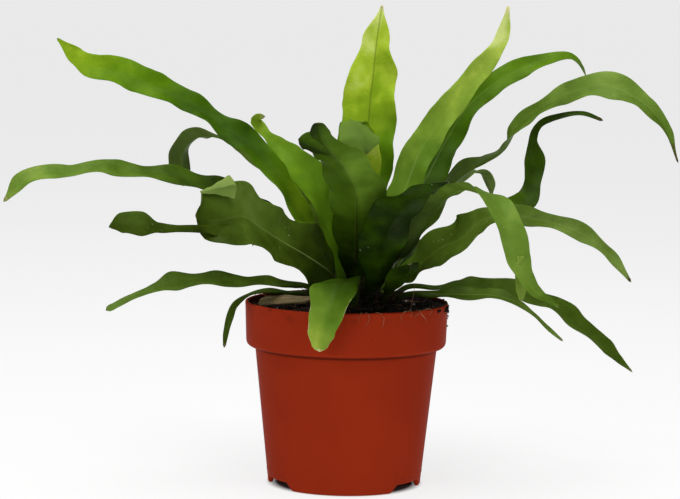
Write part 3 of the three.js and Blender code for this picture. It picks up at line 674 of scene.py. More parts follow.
RING = {"outer": 19.5, "middle": 13, "inner": 6.5, "heart": 0}
FRONDS = {
    "upright_centre": Frond(80, "inner", 75, [
        (8, 8, 121, 5, 0), (8, 16, 144, 15, 0), (10, 27, 167, 27, 0), (11, 38, 197, 34, 0),
        (12, 44, 221, 33, 0), (14, 49, 241, 29, 0), (16, 52, 261, 17, 0), (19, 55, 283, 2, 0),
    ]),
    "upright_right": Frond(15, "inner", 10, [
        (15, 4, 124, 6, 0), (20, 7, 148, 18, 30), (32, 10, 171, 20, 50), (43, 18, 198, 19, 60),
        (60, 24, 223, 16, 60), (76, 28, 243, 13, 60), (90, 29, 263, 9, 60), (94, 28, 284, 2, 60),
    ]),
    "right_back": Frond(30, "middle", 55, [
        (18, 17, 126, 6, 0), (31, 33, 152, 12, 20), (48, 49, 180, 22, 40), (60, 61, 202, 19, 50),
        (74, 66, 223, 14, 50), (94, 73, 239, 15, 50), (116, 80, 249, 12, 40),
        (134, 84, 253, 8, 30), (142, 85, 249, 8, 30), (147, 86, 240, 2, 30),
    ]),
    "right_arching": Frond(0, "middle", 25, [
        (23, 9, 122, 6, 0), (35, 15, 142, 14, -30), (50, 21, 164, 20, -35), (68, 24, 184, 20, -30),
        (81, 27, 191, 18, -25), (92, 28, 198, 11, -10), (99, 28, 210, 14, 20),
        (111, 27, 221, 13, 35), (132, 22, 233, 14, 50), (151, 16, 238, 19, 55),
        (175, 10, 227, 14, 50), (187, 4, 212, 8, 40), (194, 0, 193, 2, 30),
    ]),
    "right_twisted": Frond(0, "middle", 358, [
        (25, -1, 121, 6, 0), (46, 1, 140, 9, 0), (67, 1, 154, 9, 20), (89, 5, 163, 10, 40),
        (105, 10, 169, 14, 65), (110, 18, 179, 10, 85), (111, 23, 191, 13, 95),
        (110, 24, 205, 5, 95), (114, 20, 214, 4, 80), (125, 14, 219, 4, 60), (138, 10, 221, 3, 60),
        (150, 8, 217, 2, 60),
    ]),
    "front_right_hanging": Frond(315, "middle", 296, [
        (12, -15, 121, 7, 0), (23, -24, 133, 16, 5), (35, -36, 147, 23, 0), (47, -53, 167, 18, -5),
        (56, -72, 180, 15, -15), (66, -92, 184, 15, -20), (79, -111, 179, 17, 0),
        (88, -123, 164, 17, 25), (92, -129, 149, 13, 35), (96, -131, 139, 10, 30),
        (101, -133, 132, 10, 10), (108, -134, 127, 6, 0), (114, -134, 123, 2, 0),
    ], lobes=[
        [
            (94, -129, 150, 6, 35), (94, -129, 141, 8, 35), (94, -129, 133, 6, 35),
            (94, -129, 125, 2, 35),
        ],
    ]),
    "right_front_arching": Frond(340, "middle", 328, [
        (27, -10, 120, 9, 15), (40, -19, 132, 22, 45), (53, -29, 144, 27, 48),
        (65, -38, 151, 27, 52), (75, -45, 161, 17, 50), (86, -50, 165, 15, 42),
        (112, -55, 163, 14, 35), (131, -60, 157, 13, 35), (147, -62, 146, 9, 35),
        (161, -62, 129, 2, 35),
    ]),
    "front_leaning": Frond(262, "inner", 262, [
        (3, -11, 122, 7, 0), (5, -26, 138, 22, 0), (5, -48, 160, 30, 0), (4, -75, 180, 32, 0),
        (-3, -96, 196, 29, 0), (-11, -115, 206, 22, 0), (-16, -127, 214, 11, 0),
        (-17, -136, 221, 6, 0),
    ], lobes=[
        [
            (-5, -106, 201, 8, 5), (-13, -114, 205, 19, 5), (-21, -120, 209, 16, 10),
            (-28, -121, 211, 9, 15),
        ],
    ]),
    "centre_folded_tip": Frond(105, "heart", 0, [
        (5, 1, 123, 6, 0), (6, 3, 145, 18, 0), (6, 4, 168, 25, 0), (6, 3, 188, 25, 0),
        (5, 1, 202, 25, 0), (2, -3, 211, 19, 0), (1, -8, 215, 13, 0), (4, -13, 211, 22, -5),
        (7, -17, 206, 27, -10), (9, -19, 200, 24, -10), (11, -20, 197, 16, -5),
    ]),
    "front_left_broad": Frond(215, "outer", 241, [
        (-7, -18, 118, 24, -40), (-10, -26, 128, 38, -48), (-19, -35, 137, 39, -65),
        (-35, -52, 148, 31, -65), (-48, -68, 158, 33, -62), (-58, -82, 166, 38, -58),
        (-70, -93, 165, 40, -55), (-80, -99, 165, 31, -55), (-84, -104, 168, 15, -55),
    ], lobes=[
        [
            (-58, -84, 160, 5, -55), (-68, -96, 158, 9, -58), (-79, -107, 160, 5, -65),
            (-93, -117, 161, 4, -70), (-103, -123, 162, 6, -75), (-112, -128, 164, 14, -75),
            (-122, -132, 165, 11, -75), (-129, -135, 163, 2, -75),
        ],
        [
            (-82, -92, 179, 2, 55), (-76, -88, 180, 5, 55), (-70, -85, 181, 10, 55),
            (-65, -84, 182, 15, 55), (-62, -83, 182, 3, 55),
        ],
    ]),
    "left_long": Frond(190, "middle", 192, [
        (-11, -3, 123, 6, 0), (-25, -6, 142, 12, -10), (-46, -12, 160, 18, -25),
        (-66, -18, 172, 20, -30), (-86, -25, 179, 18, -32), (-105, -30, 184, 15, -32),
        (-126, -36, 186, 13, -32), (-142, -42, 189, 15, -32), (-158, -46, 186, 10, -32),
        (-173, -50, 186, 15, -32), (-186, -54, 180, 13, -35), (-196, -56, 169, 3, -35),
    ]),
    "upper_left_long": Frond(165, "middle", 157, [
        (-9, 7, 124, 7, 0), (-12, 9, 132, 14, 0), (-16, 11, 141, 18, 0), (-29, 16, 160, 16, -25),
        (-41, 24, 181, 17, -40), (-55, 32, 195, 17, -45), (-69, 38, 205, 18, -45),
        (-85, 44, 215, 13, -40), (-99, 48, 224, 16, -45), (-117, 50, 231, 18, -50),
        (-135, 52, 239, 20, -55), (-155, 52, 243, 17, -55), (-166, 52, 249, 11, -55),
        (-178, 52, 260, 2, -55),
    ]),
    "left_back_hooked": Frond(145, "middle", 122, [
        (-4, 15, 125, 6, 0), (-14, 33, 146, 12, 0), (-30, 50, 166, 14, -10),
        (-48, 64, 181, 14, -10), (-66, 74, 192, 13, -10), (-79, 82, 200, 13, 15),
        (-91, 87, 201, 14, 25), (-99, 92, 198, 20, 5), (-105, 94, 190, 25, 0),
        (-105, 94, 180, 19, 0), (-104, 92, 173, 12, 0), (-103, 90, 168, 4, 0),
    ]),
    "left_young_curled": Frond(150, "inner", 150, [
        (-4, 4, 123, 10, 0), (-6, 5, 132, 14, -5), (-8, 5, 141, 15, -10), (-14, 6, 160, 15, -15),
        (-19, 8, 175, 20, -25), (-26, 11, 185, 22, -40), (-34, 14, 193, 15, -45),
        (-42, 18, 199, 10, -45), (-49, 21, 205, 6, -45), (-53, 24, 209, 8, -45),
        (-56, 24, 213, 7, -45), (-54, 22, 216, 5, -45), (-50, 20, 216, 3, -45),
    ]),
    "left_low": Frond(200, "outer", 199, [
        (-22, -8, 117, 6, 0), (-32, -11, 119, 8, -15), (-46, -18, 121, 11, -25),
        (-62, -24, 122, 13, -25), (-80, -30, 123, 16, -25), (-97, -36, 123, 17, -25),
        (-110, -40, 119, 10, -25), (-124, -45, 114, 5, -25), (-132, -48, 110, 5, -25),
        (-138, -50, 107, 8, -25),
    ]),
    "left_rim_hanging": Frond(178, "outer", 174, [
        (-22, 3, 111, 5, 0), (-34, 4, 112, 6, 0), (-47, 4, 113, 6, -20), (-58, 2, 111, 5, -20),
        (-66, 1, 105, 5, -40), (-69, -1, 97, 5, -60), (-71, -3, 89, 4, -70), (-72, -5, 80, 2, -70),
    ]),
    "front_rim_hanging": Frond(262, "outer", 268, [
        (3, -27, 118, 8, 0), (0, -38, 125, 15, 4), (-4, -49, 126, 22, 8), (-8, -60, 119, 27, 8),
        (-11, -67, 110, 22, 4), (-14, -71, 99, 15, 0), (-15, -72, 91, 9, 5), (-15, -72, 88, 4, 10),
    ]),
    "right_low": Frond(8, "outer", 12, [
        (35, 8, 116, 5, 0), (53, 10, 116, 6, 15), (67, 13, 117, 9, 25), (77, 15, 118, 14, 25),
        (90, 18, 116, 20, 25), (110, 20, 111, 17, 30), (128, 22, 103, 17, 35),
        (144, 22, 91, 17, 40), (156, 22, 81, 12, 40), (164, 22, 73, 8, 40), (173, 22, 65, 2, 40),
    ]),
    "right_low_narrow": Frond(350, "outer", 346, [
        (34, -5, 113, 5, 0), (52, -8, 114, 11, 15), (69, -12, 115, 13, 25), (87, -16, 115, 12, 25),
        (100, -18, 111, 6, 25), (110, -19, 104, 4, 25), (117, -20, 97, 4, 25),
        (127, -20, 89, 2, 25),
    ]),
    "right_back_curled": Frond(45, "outer", 45, [
        (24, 19, 120, 6, 0), (40, 37, 143, 9, 0), (55, 51, 162, 8, 0), (68, 58, 176, 9, 0),
        (76, 62, 182, 9, 0), (83, 62, 181, 8, 0), (87, 61, 175, 8, 0), (88, 60, 167, 2, 0),
    ]),
    "dry_old": Frond(205, "outer", 222, [
        (-18, -18, 111, 6, 0), (-28, -22, 111, 8, -20), (-37, -21, 111, 9, -30),
        (-46, -17, 110, 7, -30), (-52, -13, 108, 4, -30),
    ], dry=True),
    "front_right_short": Frond(310, "outer", 318, [
        (24, -18, 116, 6, 0), (27, -26, 121, 14, 0), (31, -34, 127, 20, 0), (34, -41, 132, 18, 0),
        (36, -46, 136, 9, 0),
    ]),
    "back_left": Frond(125, "outer", 140, [
        (-18, 20, 116, 7, 0), (-32, 44, 133, 19, 0), (-46, 72, 146, 26, 0), (-58, 98, 150, 24, 0),
        (-70, 120, 147, 14, 0), (-78, 133, 141, 3, 0),
    ]),
    "back_centre": Frond(92, "outer", 108, [
        (-2, 26, 118, 7, 0), (-5, 50, 141, 20, 0), (-8, 78, 155, 27, 0), (-12, 106, 156, 24, 0),
        (-15, 127, 147, 13, 0), (-16, 137, 137, 3, 0),
    ]),
    "back_right": Frond(65, "outer", 76, [
        (17, 25, 118, 7, 0), (33, 50, 131, 20, 0), (39, 78, 137, 24, 0), (42, 104, 135, 21, 0),
        (43, 124, 130, 12, 0), (44, 134, 124, 3, 0),
    ]),
    "back_upper": Frond(92, "middle", 90, [
        (5, 18, 124, 6, 0), (5, 36, 151, 18, 0), (3, 56, 172, 26, 0), (0, 80, 183, 25, 0),
        (-5, 104, 183, 17, 0), (-9, 121, 176, 3, 0),
    ]),
    "front_right_broad": Frond(285, "outer", 297, [
        (14, -22, 117, 6, 0), (17, -30, 127, 14, 0), (18, -42, 138, 24, 0), (21, -56, 153, 28, 0),
        (26, -70, 167, 29, 0), (33, -84, 176, 25, 0), (40, -94, 181, 18, 0), (48, -101, 185, 8, 0),
        (55, -106, 188, 2, 0),
    ]),
}
print("fronds:", len(FRONDS), "stations:", sum(len(f.stations) for f in FRONDS.values()))

# %% [markdown]
# ### Curves through the stations
#
# The midrib is a smooth curve through the stations. A centripetal Catmull-Rom curve never loops or
# overshoots between stations at uneven distances. The width and the turn pass from one station to
# the next along an S.

# %% Curves through the stations


def station_spans(count, t):
    """For each share t of the curve, the station before it and how far it is to the next one."""
    place = np.clip(t, 0, 1) * (count - 1)
    before = np.minimum(place.astype(int), count - 2)
    return before, place - before


def curve_through(stations, t):
    """Points of the curve at shares t: between two stations the cubic whose end slopes follow the
    neighbours, each slope weighed by the square root of the distance between the stations. Past
    either end the last span is mirrored."""
    stations = np.asarray(stations, float)
    padded = np.vstack([2 * stations[0] - stations[1], stations, 2 * stations[-1] - stations[-2]])
    before, w = station_spans(len(stations), t)
    a, b, c, d = (padded[before + k] for k in range(4))
    ab, bc, cd = (np.sqrt(np.linalg.norm(q - p, axis=1))[:, None] for p, q in ((a, b), (b, c), (c, d)))
    leave = bc * ((b - a) / ab - (c - a) / (ab + bc) + (c - b) / bc)
    arrive = bc * ((c - b) / bc - (d - b) / (bc + cd) + (d - c) / cd)
    w = w[:, None]
    return (b + leave * w + (3 * (c - b) - 2 * leave - arrive) * w**2
            + (2 * (b - c) + leave + arrive) * w**3)


def eased_through(values, t):
    """Values at shares t, with an S-shaped passage 3w² - 2w³ from each station to the next."""
    values = np.asarray(values, float)
    before, w = station_spans(len(values), t)
    return values[before] + (values[before + 1] - values[before]) * smoothstep(w, 0, 1)


# %% Blade sections
STALK_WIDTH = 5
STALK_THICKNESS = 3.4
STALK_LENGTH = 26
EDGE_THICKNESS = 0.7
WAVE_HEIGHT = 2
WAVE_LENGTH = 34
SCALLOP = 0.05
CHANNEL = 0.12
FINE_STEP = 1.5
# a blade's two edges wave a little out of step, and each frond's waves start elsewhere
EDGE_PACE = 1.12
PHASE_STEP = 1.7
RIPPLE_HEIGHT = 0.5
RAGGED_SHARE = 0.02
RIDGE_HALF_WIDTH = 0.9
RIDGE_HEIGHT = 0.25
KEEL_HEIGHT = 0.75
# a blade narrower than these waves, ripples and rises over its midrib less
FULL_WAVE_WIDTH = 24
FULL_RIPPLE_WIDTH = 16
FULL_RIDGE_WIDTH = 14
LEAST_TIP_ROUND = 1.6
HALF_ACROSS = [0.03, 0.07, 0.13, 0.21, 0.31, 0.42, 0.54, 0.66, 0.77, 0.87, 0.94, 0.98, 1]
ACROSS = np.array([-v for v in reversed(HALF_ACROSS)] + [0] + HALF_ACROSS)


def midrib_rows(frond, rows):
    """The rows of a frond at equal steps along its midrib: how far along each one is, its place, side
    and rise, and its width. The side is level and square to the lean, made square to the tangent and
    turned about it, and the rise is the tangent crossed with the side."""
    rows = np.asarray(rows, float)
    fine = np.linspace(0, 1, 401)
    steps = np.linalg.norm(np.diff(curve_through(rows[:, :3], fine), axis=0), axis=1)
    travelled = np.concatenate([[0], np.cumsum(steps)])
    length = travelled[-1]
    along = np.linspace(0, length, max(8, round(length / FINE_STEP)) + 1)
    t = np.interp(along, travelled, fine)
    middle, after, before = (curve_through(rows[:, :3], s) for s in (t, np.minimum(t + 1e-4, 1),
                                                                     np.maximum(t - 1e-4, 0)))
    tangent = unit(after - before)
    lean = math.radians(frond.lean)
    level = np.array([-math.sin(lean), math.cos(lean), 0])
    side = unit(level - tangent * (tangent @ level)[:, None])
    turn = np.radians(eased_through(rows[:, 4], t))[:, None]
    side = side * np.cos(turn) + np.cross(tangent, side) * np.sin(turn)
    return along, middle, side, np.cross(tangent, side), eased_through(rows[:, 3], t)


def blade_surface(frond, index, rows, lobe=False):
    """Points of a blade's rings, from the root to the tip: over the upper face and back under the lower
    one. The edges rise and fall as a sine along the midrib, times the square of the share across, and
    the outline scallops with the cosine. The thickness is an ellipse at the stalk and opens into a
    thin lamina with a rounded edge, a low ridge above the midrib and a keel below it. A lobe is open
    from its first ring, and its edges lie flat."""
    along, middle, side, rise, width = midrib_rows(frond, rows)
    length = along[-1]
    opened = np.ones_like(along) if lobe else smoothstep(along, STALK_LENGTH * 0.5, STALK_LENGTH * 2)
    tip = max(LEAST_TIP_ROUND, rows[-1][3] * 0.7)
    width = width * np.sqrt(np.clip(1 - (np.clip(along - length + tip, 0, None) / tip)**2, 1e-4, 1))
    v = ACROSS[None]
    a, o, w = along[:, None], opened[:, None], width[:, None]

    def drift(shift, size, seed):
        """Soft noise along the blade, another one on each side of the midrib."""
        return lattice_noise(a + 0 * v, index * 40 + np.sign(v) * shift, size, seed)

    swing = 2 * np.pi * a / WAVE_LENGTH * np.where(v > 0, 1, EDGE_PACE) + index * PHASE_STEP
    wave = 0 if lobe else WAVE_HEIGHT * o * np.minimum(1, w / FULL_WAVE_WIDTH)
    ripple = RIPPLE_HEIGHT * np.minimum(1, w / FULL_RIPPLE_WIDTH) * o * np.abs(v)**3 * drift(9, 7, 41)
    lift = wave * v**2 * np.sin(swing) + CHANNEL * w * o * (np.abs(v) - 0.5) + ripple
    ragged = 1 + RAGGED_SHARE * o * drift(7, 4, 42)
    across = v * w / 2 * (1 + SCALLOP * o * np.cos(swing)) * ragged
    round_edge = np.sqrt(1 - np.abs(v)**(2 + 10 * o))
    core = (STALK_THICKNESS * (1 - o) + EDGE_THICKNESS * 0.85 * o) / 2 * round_edge * np.minimum(1, w / 4)
    ridge = o * np.exp(-(across / RIDGE_HALF_WIDTH)**2) * np.minimum(1, w / FULL_RIDGE_WIDTH) * round_edge
    spine = middle[:, None] + side[:, None] * across[..., None]
    upper = spine + rise[:, None] * (lift + core + RIDGE_HEIGHT * ridge)[..., None]
    lower = spine + rise[:, None] * (lift - core - KEEL_HEIGHT * ridge)[..., None]
    rings = np.concatenate([upper, lower[:, -2:0:-1]], axis=1)
    return rings, along, np.concatenate([across, across[:, -2:0:-1]], axis=1), opened


# %% [markdown]
# ### How each frond is coloured
#
# Young fronds at the heart are a bright yellow-green and let light through. They darken to olive as
# they age, and the lower, older ones are darkest. So each frond has a few ages from 0 to 1, at equal
# shares from its base to its tip. The ages hold painted shade and light as well: they are darker where
# a frond lies in the shade of others and lighter on some shaded parts, and the palest greens are
# greyed a little, partly a painted sheen. Each midrib has a tone likewise: darker than the blade on
# some fronds and paler on others. Some are a purer green and some a browner one, and on some the half
# that turns to the light is painted lighter, as painted light. A tip can be dry, dark brown or pale
# tan, and so can a thin margin near it. The lower face is matter and greyer.

# %% Frond finishes


@dataclass
class Finish:
    """The ages and rib are values at equal shares from the base to the tip, and rib runs from -1 for a
    dark midrib to 1 for a pale one. The ages hold painted shade and light besides the tones of age:
    darker where a frond lies in the shade of others, lighter on some shaded parts. olive is 0 for a
    pure green and 1 for a brownish one; side is how much darker the half on the positive side of the
    midrib is painted, painted shade and, below 0, painted light; tip is the dry tip's length in
    millimetres and its tan from 0, dark brown, to 1, pale; pale is how much greyer the back is, specks
    how many painted highlights of water drops the blade has, lobes the ages of its lobes, and margin how
    dry its edges are near the tip."""
    age: tuple = (0.85, 0.65)
    olive: float = 0.5
    side: float = 0
    rib: tuple = (0.1,)
    tip: tuple = (3, 0.1)
    pale: float = 0.15
    specks: float = 0
    lobes: tuple = ()
    margin: float = 0


# the ages below hold painted shade and light besides the tones of age: they darken fronds where others shade
# them and lighten some shaded parts, such as the base of upper_left_long and the rising part of
# centre_folded_tip; side paints one half lighter or darker, as painted light
FINISHES = {
    "upright_centre": Finish((1, 1, 0.82, 0.45, 0.2, 0.12, 0.02), 0, -0.1, (-0.4,), (4, 0.6)),
    "upright_right": Finish((0.8, 0.55, 0.4, 0.22, 0), 0.3, -0.08, (0.3, 0.2, 0, 0), (10, 1)),
    "right_back": Finish((0.85, 0.8, 0.55, 0.45), 0.1, 0, (0.3, 0.1, 0), (5, 0.3)),
    "right_arching": Finish((1, 0.85, 0.65, 0.4, 0.55), 0.6, -0.1, (0, 0, 0.1), (14, 0)),
    "right_twisted": Finish((0.7, 0.6, 0.75, 0.9, 0.9), 0.35, 0, (0,), (5, 0)),
    "front_right_hanging": Finish((1, 1, 0.62, 0.4, 0.58), 0.5, 0, (-0.2, -0.2, 0.1), (2, 0.2), 0.1, 0.5,
                                  ((0.4,),)),
    "right_front_arching": Finish((0.58, 0.7, 0.6, 0.36), 0.8, 0, (0.05,), (5, 0), 0.4, 1),
    "front_leaning": Finish((1, 0.88, 0.58, 0.6, 0.92), 0.35, -0.2, (-0.9, -0.8, -0.3, 0), (1, 0.1), 0, 0,
                            ((0.85,),)),
    "centre_folded_tip": Finish((0.9, 0.6, 0.3, 0.2, 0.13, 0.42, 0.5), 0, 0, (0,), (0.5, 0.2), 0.55),
    "front_left_broad": Finish((1, 1, 0.7, 0.6, 0.88), 0.8, 0.12, (0.3, 0.25, 0.1, 0), (0.5, 0), 0.4, 1,
                               ((0.85, 0.75), (0.35,))),
    "left_long": Finish((1, 1, 0.95, 0.65, 0.46, 0.34), 0.5, 0, (0,), (4, 0.3)),
    "upper_left_long": Finish((0.36, 0.3, 0.34, 0.47, 0.73, 0.66, 0.48, 0.34, 0.22), 0, 0.05, (0,), (2, 0)),
    "left_back_hooked": Finish((0.85, 0.7, 0.7), 0.8, 0, (0,), (3, 0.3), 0.4),
    "left_young_curled": Finish((0.7, 0.53, 0.45, 0.22), 0.1, 0, (0,), (4, 0.4)),
    "left_low": Finish((0.95, 0.75, 0.45), 0.7, 0, (0,), (1.5, 0), 0.5, 0.5),
    "left_rim_hanging": Finish((0.9, 0.72), 0.8, 0, (0,), (4, 0.1)),
    "front_rim_hanging": Finish((0.85, 0.85, 0.76, 0.36, 0.27), 0.3, 0.12, (0,), (2, 0.8), margin=0.7),
    "right_low": Finish((0.8, 0.65, 0.7), 0.7, 0, (0,), (4, 0.2)),
    "right_low_narrow": Finish((0.95, 0.7, 0.6), 0.7, 0, (0.1,), (4, 0.2)),
    "right_back_curled": Finish((0.7, 0.45), 0.9, 0, (0,), (3, 0.2), 0.6),
    "front_right_short": Finish((0.93,), 0.3, 0, (0,), (0.5, 0.3), 0, 1),
    "front_right_broad": Finish((0.95,), 0.1, 0, (0,), (1, 0.3), 0, 0.8),
}

# %% [markdown]
# ### The leaf's surface
#
# A fresh frond is a living leaf with a wax cuticle. To the eye it is green in soft patches, with fine
# side veins that leave the midrib towards the tip, a gloss that is stronger above than below, and
# light that shines through the thin lamina. The pattern follows the blade through its own map, in
# metres across and along. The side veins are 1 mm apart on the real frond, too fine for the render,
# so they are drawn 2.6 mm apart.

# %% Material: waxy fresh frond
frond_leaf, add = new_material("waxy_fresh_frond")
VEIN_SPACING = 2.6 * MM
VEIN_SLANT = 0.6
VEIN_BEND = 9 * MM
place = add("TexCoord", give="Object")
across_blade = add("SeparateXYZ", add("UVMap", uv_map="blade"))
from_rib = add("Math", across_blade, operation="ABSOLUTE")
patch = add("TexNoise", place, Scale=1 / (17 * MM), Detail=3)
slant = add("Math", from_rib, -VEIN_SLANT, operation="MULTIPLY")
bend = add("Math", patch, VEIN_BEND, operation="MULTIPLY")
vein_place = across_blade.node.outputs["Y"]
for shift in (slant, bend):
    vein_place = add("Math", vein_place, shift, operation="ADD")
vein_phase = add("Math", vein_place, 2 * math.pi / VEIN_SPACING, operation="MULTIPLY")
veins = add("Math", vein_phase, operation="SINE")

age, back, olive, rib, dry, tan, glint_share = (
    add("Attribute", attribute_name=name, give="Fac")
    for name in ("age", "back", "olive", "rib", "dry", "tan", "specks"))

mottle = add("MapRange", patch, From_Min=0.25, From_Max=0.75, To_Min=-0.13, To_Max=0.13)
vein_tone = add("Math", veins, 0.006, operation="MULTIPLY")
# the ages hold painted shade and light besides the tones of age
aged_and_lit = age
for shift in (mottle, vein_tone):
    aged_and_lit = add("Math", aged_and_lit, shift, operation="ADD")
# the palest greens are greyed a little, partly a painted sheen on young upturned blades
AGES = (0, 0.12, 0.22, 0.4, 0.6, 0.8, 1)
PURE_GREENS = ("#c9d873", "#a3bb32", "#809f1c", "#5c810e", "#426407", "#2b4703", "#132402")
BROWN_GREENS = ("#d6dca0", "#b2bf70", "#92a358", "#6c823e", "#4e6220", "#36450d", "#1c2605")
pure, browner = (add("ValToRGB", aged_and_lit, stops=list(zip(AGES, greens)))
                 for greens in (PURE_GREENS, BROWN_GREENS))
toned = add("Mix", olive, in_6=pure, in_7=browner, **COLOURS)
backed = add("Mix", back, in_6=toned, in_7=linear("#64793c"), **COLOURS)

rib_line = add("MapRange", from_rib, From_Min=0.2 * MM, From_Max=0.7 * MM, To_Min=1, To_Max=0)
rib_share = add("Math", rib, operation="ABSOLUTE")
rib_cover = add("Math", rib_line, rib_share, operation="MULTIPLY")
rib_pale = add("MapRange", rib, From_Min=-0.05, From_Max=0.05)
rib_colour = add("Mix", rib_pale, in_6=linear("#2a2410"), in_7=linear("#a9bd6b"), **COLOURS)
ribbed = add("Mix", rib_cover, in_6=backed, in_7=rib_colour, **COLOURS)

fray = add("TexNoise", place, Scale=1 / (2.5 * MM), Detail=3)
dry_edge = add("Math", dry, fray, operation="ADD")
dried = add("MapRange", dry_edge, From_Min=0.95, From_Max=1.3)
dry_colour = add("Mix", tan, in_6=linear("#4a3a20"), in_7=linear("#d8d39a"), **COLOURS)
tipped = add("Mix", dried, in_6=ribbed, in_7=dry_colour, **COLOURS)

# painted highlights: whitish glints of water drops, 0.3 to 0.6 mm, that stand in loose groups
drops = add("TexVoronoi", place, Scale=1 / (2.4 * MM))
painted_glints = add("MapRange", drops, From_Min=0.06, From_Max=0.15, To_Min=1, To_Max=0)
chosen = add("SeparateColor", drops.node.outputs["Color"])
kept = add("MapRange", chosen, From_Min=0.72, From_Max=0.95)
group = add("TexNoise", place, Scale=1 / (14 * MM), Detail=0)
grouped = add("MapRange", group, From_Min=0.5, From_Max=0.62)
for share in (kept, grouped, glint_share):
    painted_glints = add("Math", painted_glints, share, operation="MULTIPLY")
glinted = add("Mix", painted_glints, in_6=tipped, in_7=linear("#cfdcb8"), **COLOURS)

face_gloss = add("MapRange", back, To_Min=0.38, To_Max=0.6)
gloss = add("Math", face_gloss, mottle, operation="ADD")
vein_relief = add("Math", veins, 0.5, operation="MULTIPLY")
relief = add("Math", vein_relief, fray, operation="ADD")
vein_bump = add("Bump", Strength=0.25, Distance=0.06 * MM, Height=relief)
add("OutputMaterial", Surface=add("BsdfPrincipled", Base_Color=glinted, Roughness=gloss, Normal=vein_bump,
                                  IOR=1.42, Specular_IOR_Level=0.04, Subsurface_Weight=0.2,
                                  Subsurface_Radius=(0.5, 1, 0.2), Subsurface_Scale=1 * MM))

# %% Material: papery dry frond
dry_leaf, add = new_material("papery_dry_frond")
stretch = add("Mapping", add("UVMap", uv_map="blade"), Scale=(1 / (1.2 * MM), 1 / (14 * MM), 1))
grain = add("TexNoise", stretch, Scale=1, Detail=4)
# painted shade, partly: the straw tones are darker than a dry frond's own pale tan, for the shade under the
# fronds above it
straw_tone_and_shade = add("ValToRGB", grain, stops=[(0.3, "#473a20"), (0.55, "#75643c"), (0.75, "#94825a")])
grain_bump = add("Bump", Strength=0.5, Distance=0.2 * MM, Height=grain)
add("OutputMaterial", Surface=add("BsdfPrincipled", Base_Color=straw_tone_and_shade, Roughness=0.7, Normal=grain_bump,
                                  Subsurface_Weight=0.1, Subsurface_Radius=(0.6, 0.4, 0.2),
                                  Subsurface_Scale=1 * MM))

# %% Frond pieces
ROOT_SHARE = 0.9


def root_of(frond):
    """The root station at the bottom of its socket, a little nearer the crown's middle than its ring."""
    radius, angle = RING[frond.ring] * ROOT_SHARE, math.radians(frond.bearing)
    return (CROWN_X + radius * math.cos(angle), radius * math.sin(angle), SOCKET_FLOOR, STALK_WIDTH, 0)


def spread(values, share):
    """Values given at equal shares of a blade, straight from one to the next."""
    return np.interp(share, np.linspace(0, 1, len(values)), values)


def blade_parts(frond, index, finish, rows, lobe_age=None):
    """A blade's points and faces, its map in metres, and the numbers that its material reads. A lobe
    has ages of its own, and starts fully opened."""
    rings, along, across, opened = blade_surface(frond, index, rows, lobe_age is not None)
    count, around, _ = rings.shape
    ends = np.stack([rings[0].mean(axis=0), rings[-1].mean(axis=0)])
    share = along / along[-1]
    age = spread(finish.age if lobe_age is None else lobe_age, share)
    rib = spread(finish.rib if lobe_age is None else (0,), share) * opened
    length, tan = finish.tip
    dry_tip = smoothstep(along, along[-1] - 2 * length, along[-1] + 0.3 * length)
    upper_face = np.arange(around) < len(ACROSS)
    edge = smoothstep(np.abs(across) / np.abs(across).max(axis=1, keepdims=True), 0.9, 1)
    dry_margin = finish.margin * edge * smoothstep(share, 0.45, 0.7)[:, None]
    grids = {
        # the ages carry painted shade and light, and side paints one half of the blade lighter or darker as
        # painted light
        "age": age[:, None] + finish.side * (smoothstep(across, -2.5, 2.5) - 0.5),
        "back": np.where(upper_face, 0.0, finish.pale),
        "olive": finish.olive,
        "rib": rib[:, None],
        "dry": np.maximum(dry_tip[:, None], dry_margin),
        "tan": tan,
        "specks": finish.specks,
    }
    grids = {name: np.broadcast_to(grid, (count, around)) for name, grid in grids.items()}
    attributes = {name: np.concatenate([g.ravel(), g[0, :1], g[-1, :1]]) for name, g in grids.items()}
    uv = np.stack([across, np.broadcast_to(along[:, None], across.shape)], axis=-1).reshape(-1, 2)
    uv = np.concatenate([uv, [[0, along[0]], [0, along[-1]]]]) * MM
    points = np.concatenate([rings.reshape(-1, 3), ends])
    return points, tube_faces(count, around, True), attributes, uv


faces_made = 0
for index, (name, frond) in enumerate(FRONDS.items()):
    finish = FINISHES.get(name, Finish())
    points, faces, attributes, uv = blade_parts(frond, index, finish, [root_of(frond), *frond.stations])
    for rows, lobe_age in zip(frond.lobes, finish.lobes):
        lobe_points, lobe_faces, numbers, lobe_uv = blade_parts(frond, index, finish, rows, lobe_age)
        faces = [np.concatenate([a, b + len(points)]) for a, b in zip(faces, lobe_faces)]
        points = np.concatenate([points, lobe_points])
        attributes = {label: np.concatenate([attributes[label], numbers[label]]) for label in attributes}
        uv = np.concatenate([uv, lobe_uv])
    material, slot = (dry_leaf, "frond_dry") if frond.dry else (frond_leaf, "frond_green")
    piece = add_piece("blade_" + name, points, faces, material, slot, attributes, uv)
    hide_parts("frond_" + name)
    faces_made += len(piece.data.polygons)
print("frond faces:", faces_made)

# %% [markdown]
# ## Studio
#
# The plant stands on a plain pale floor that runs on past the horizon, so no backdrop is needed. A
# large soft box overhead makes the upper faces bright, two soft boxes in front give the pot its two
# broad soft bands, and a dim even sky fills the shadows. The floor glows a little, as a lit table
# does, and the glow stops under the pot: a painted shadow that stays dark behind the notches.

# %% Floor, lights and sky
FLOOR_REACH = 500
FLOOR_GLOW = 0.78
floor_corners = [(x * FLOOR_REACH, y * FLOOR_REACH, 0) for x, y in ((-1, -1), (1, -1), (1, 1), (-1, 1))]
floor_mesh = bpy.data.meshes.new("studio_floor")
floor_mesh.from_pydata(floor_corners, [], [(0, 1, 2, 3)])
floor_paint, add = new_material("matt_white_paint")
from_axis = add("VectorMath", add("TexCoord", give="Object"), operation="LENGTH", give="Value")
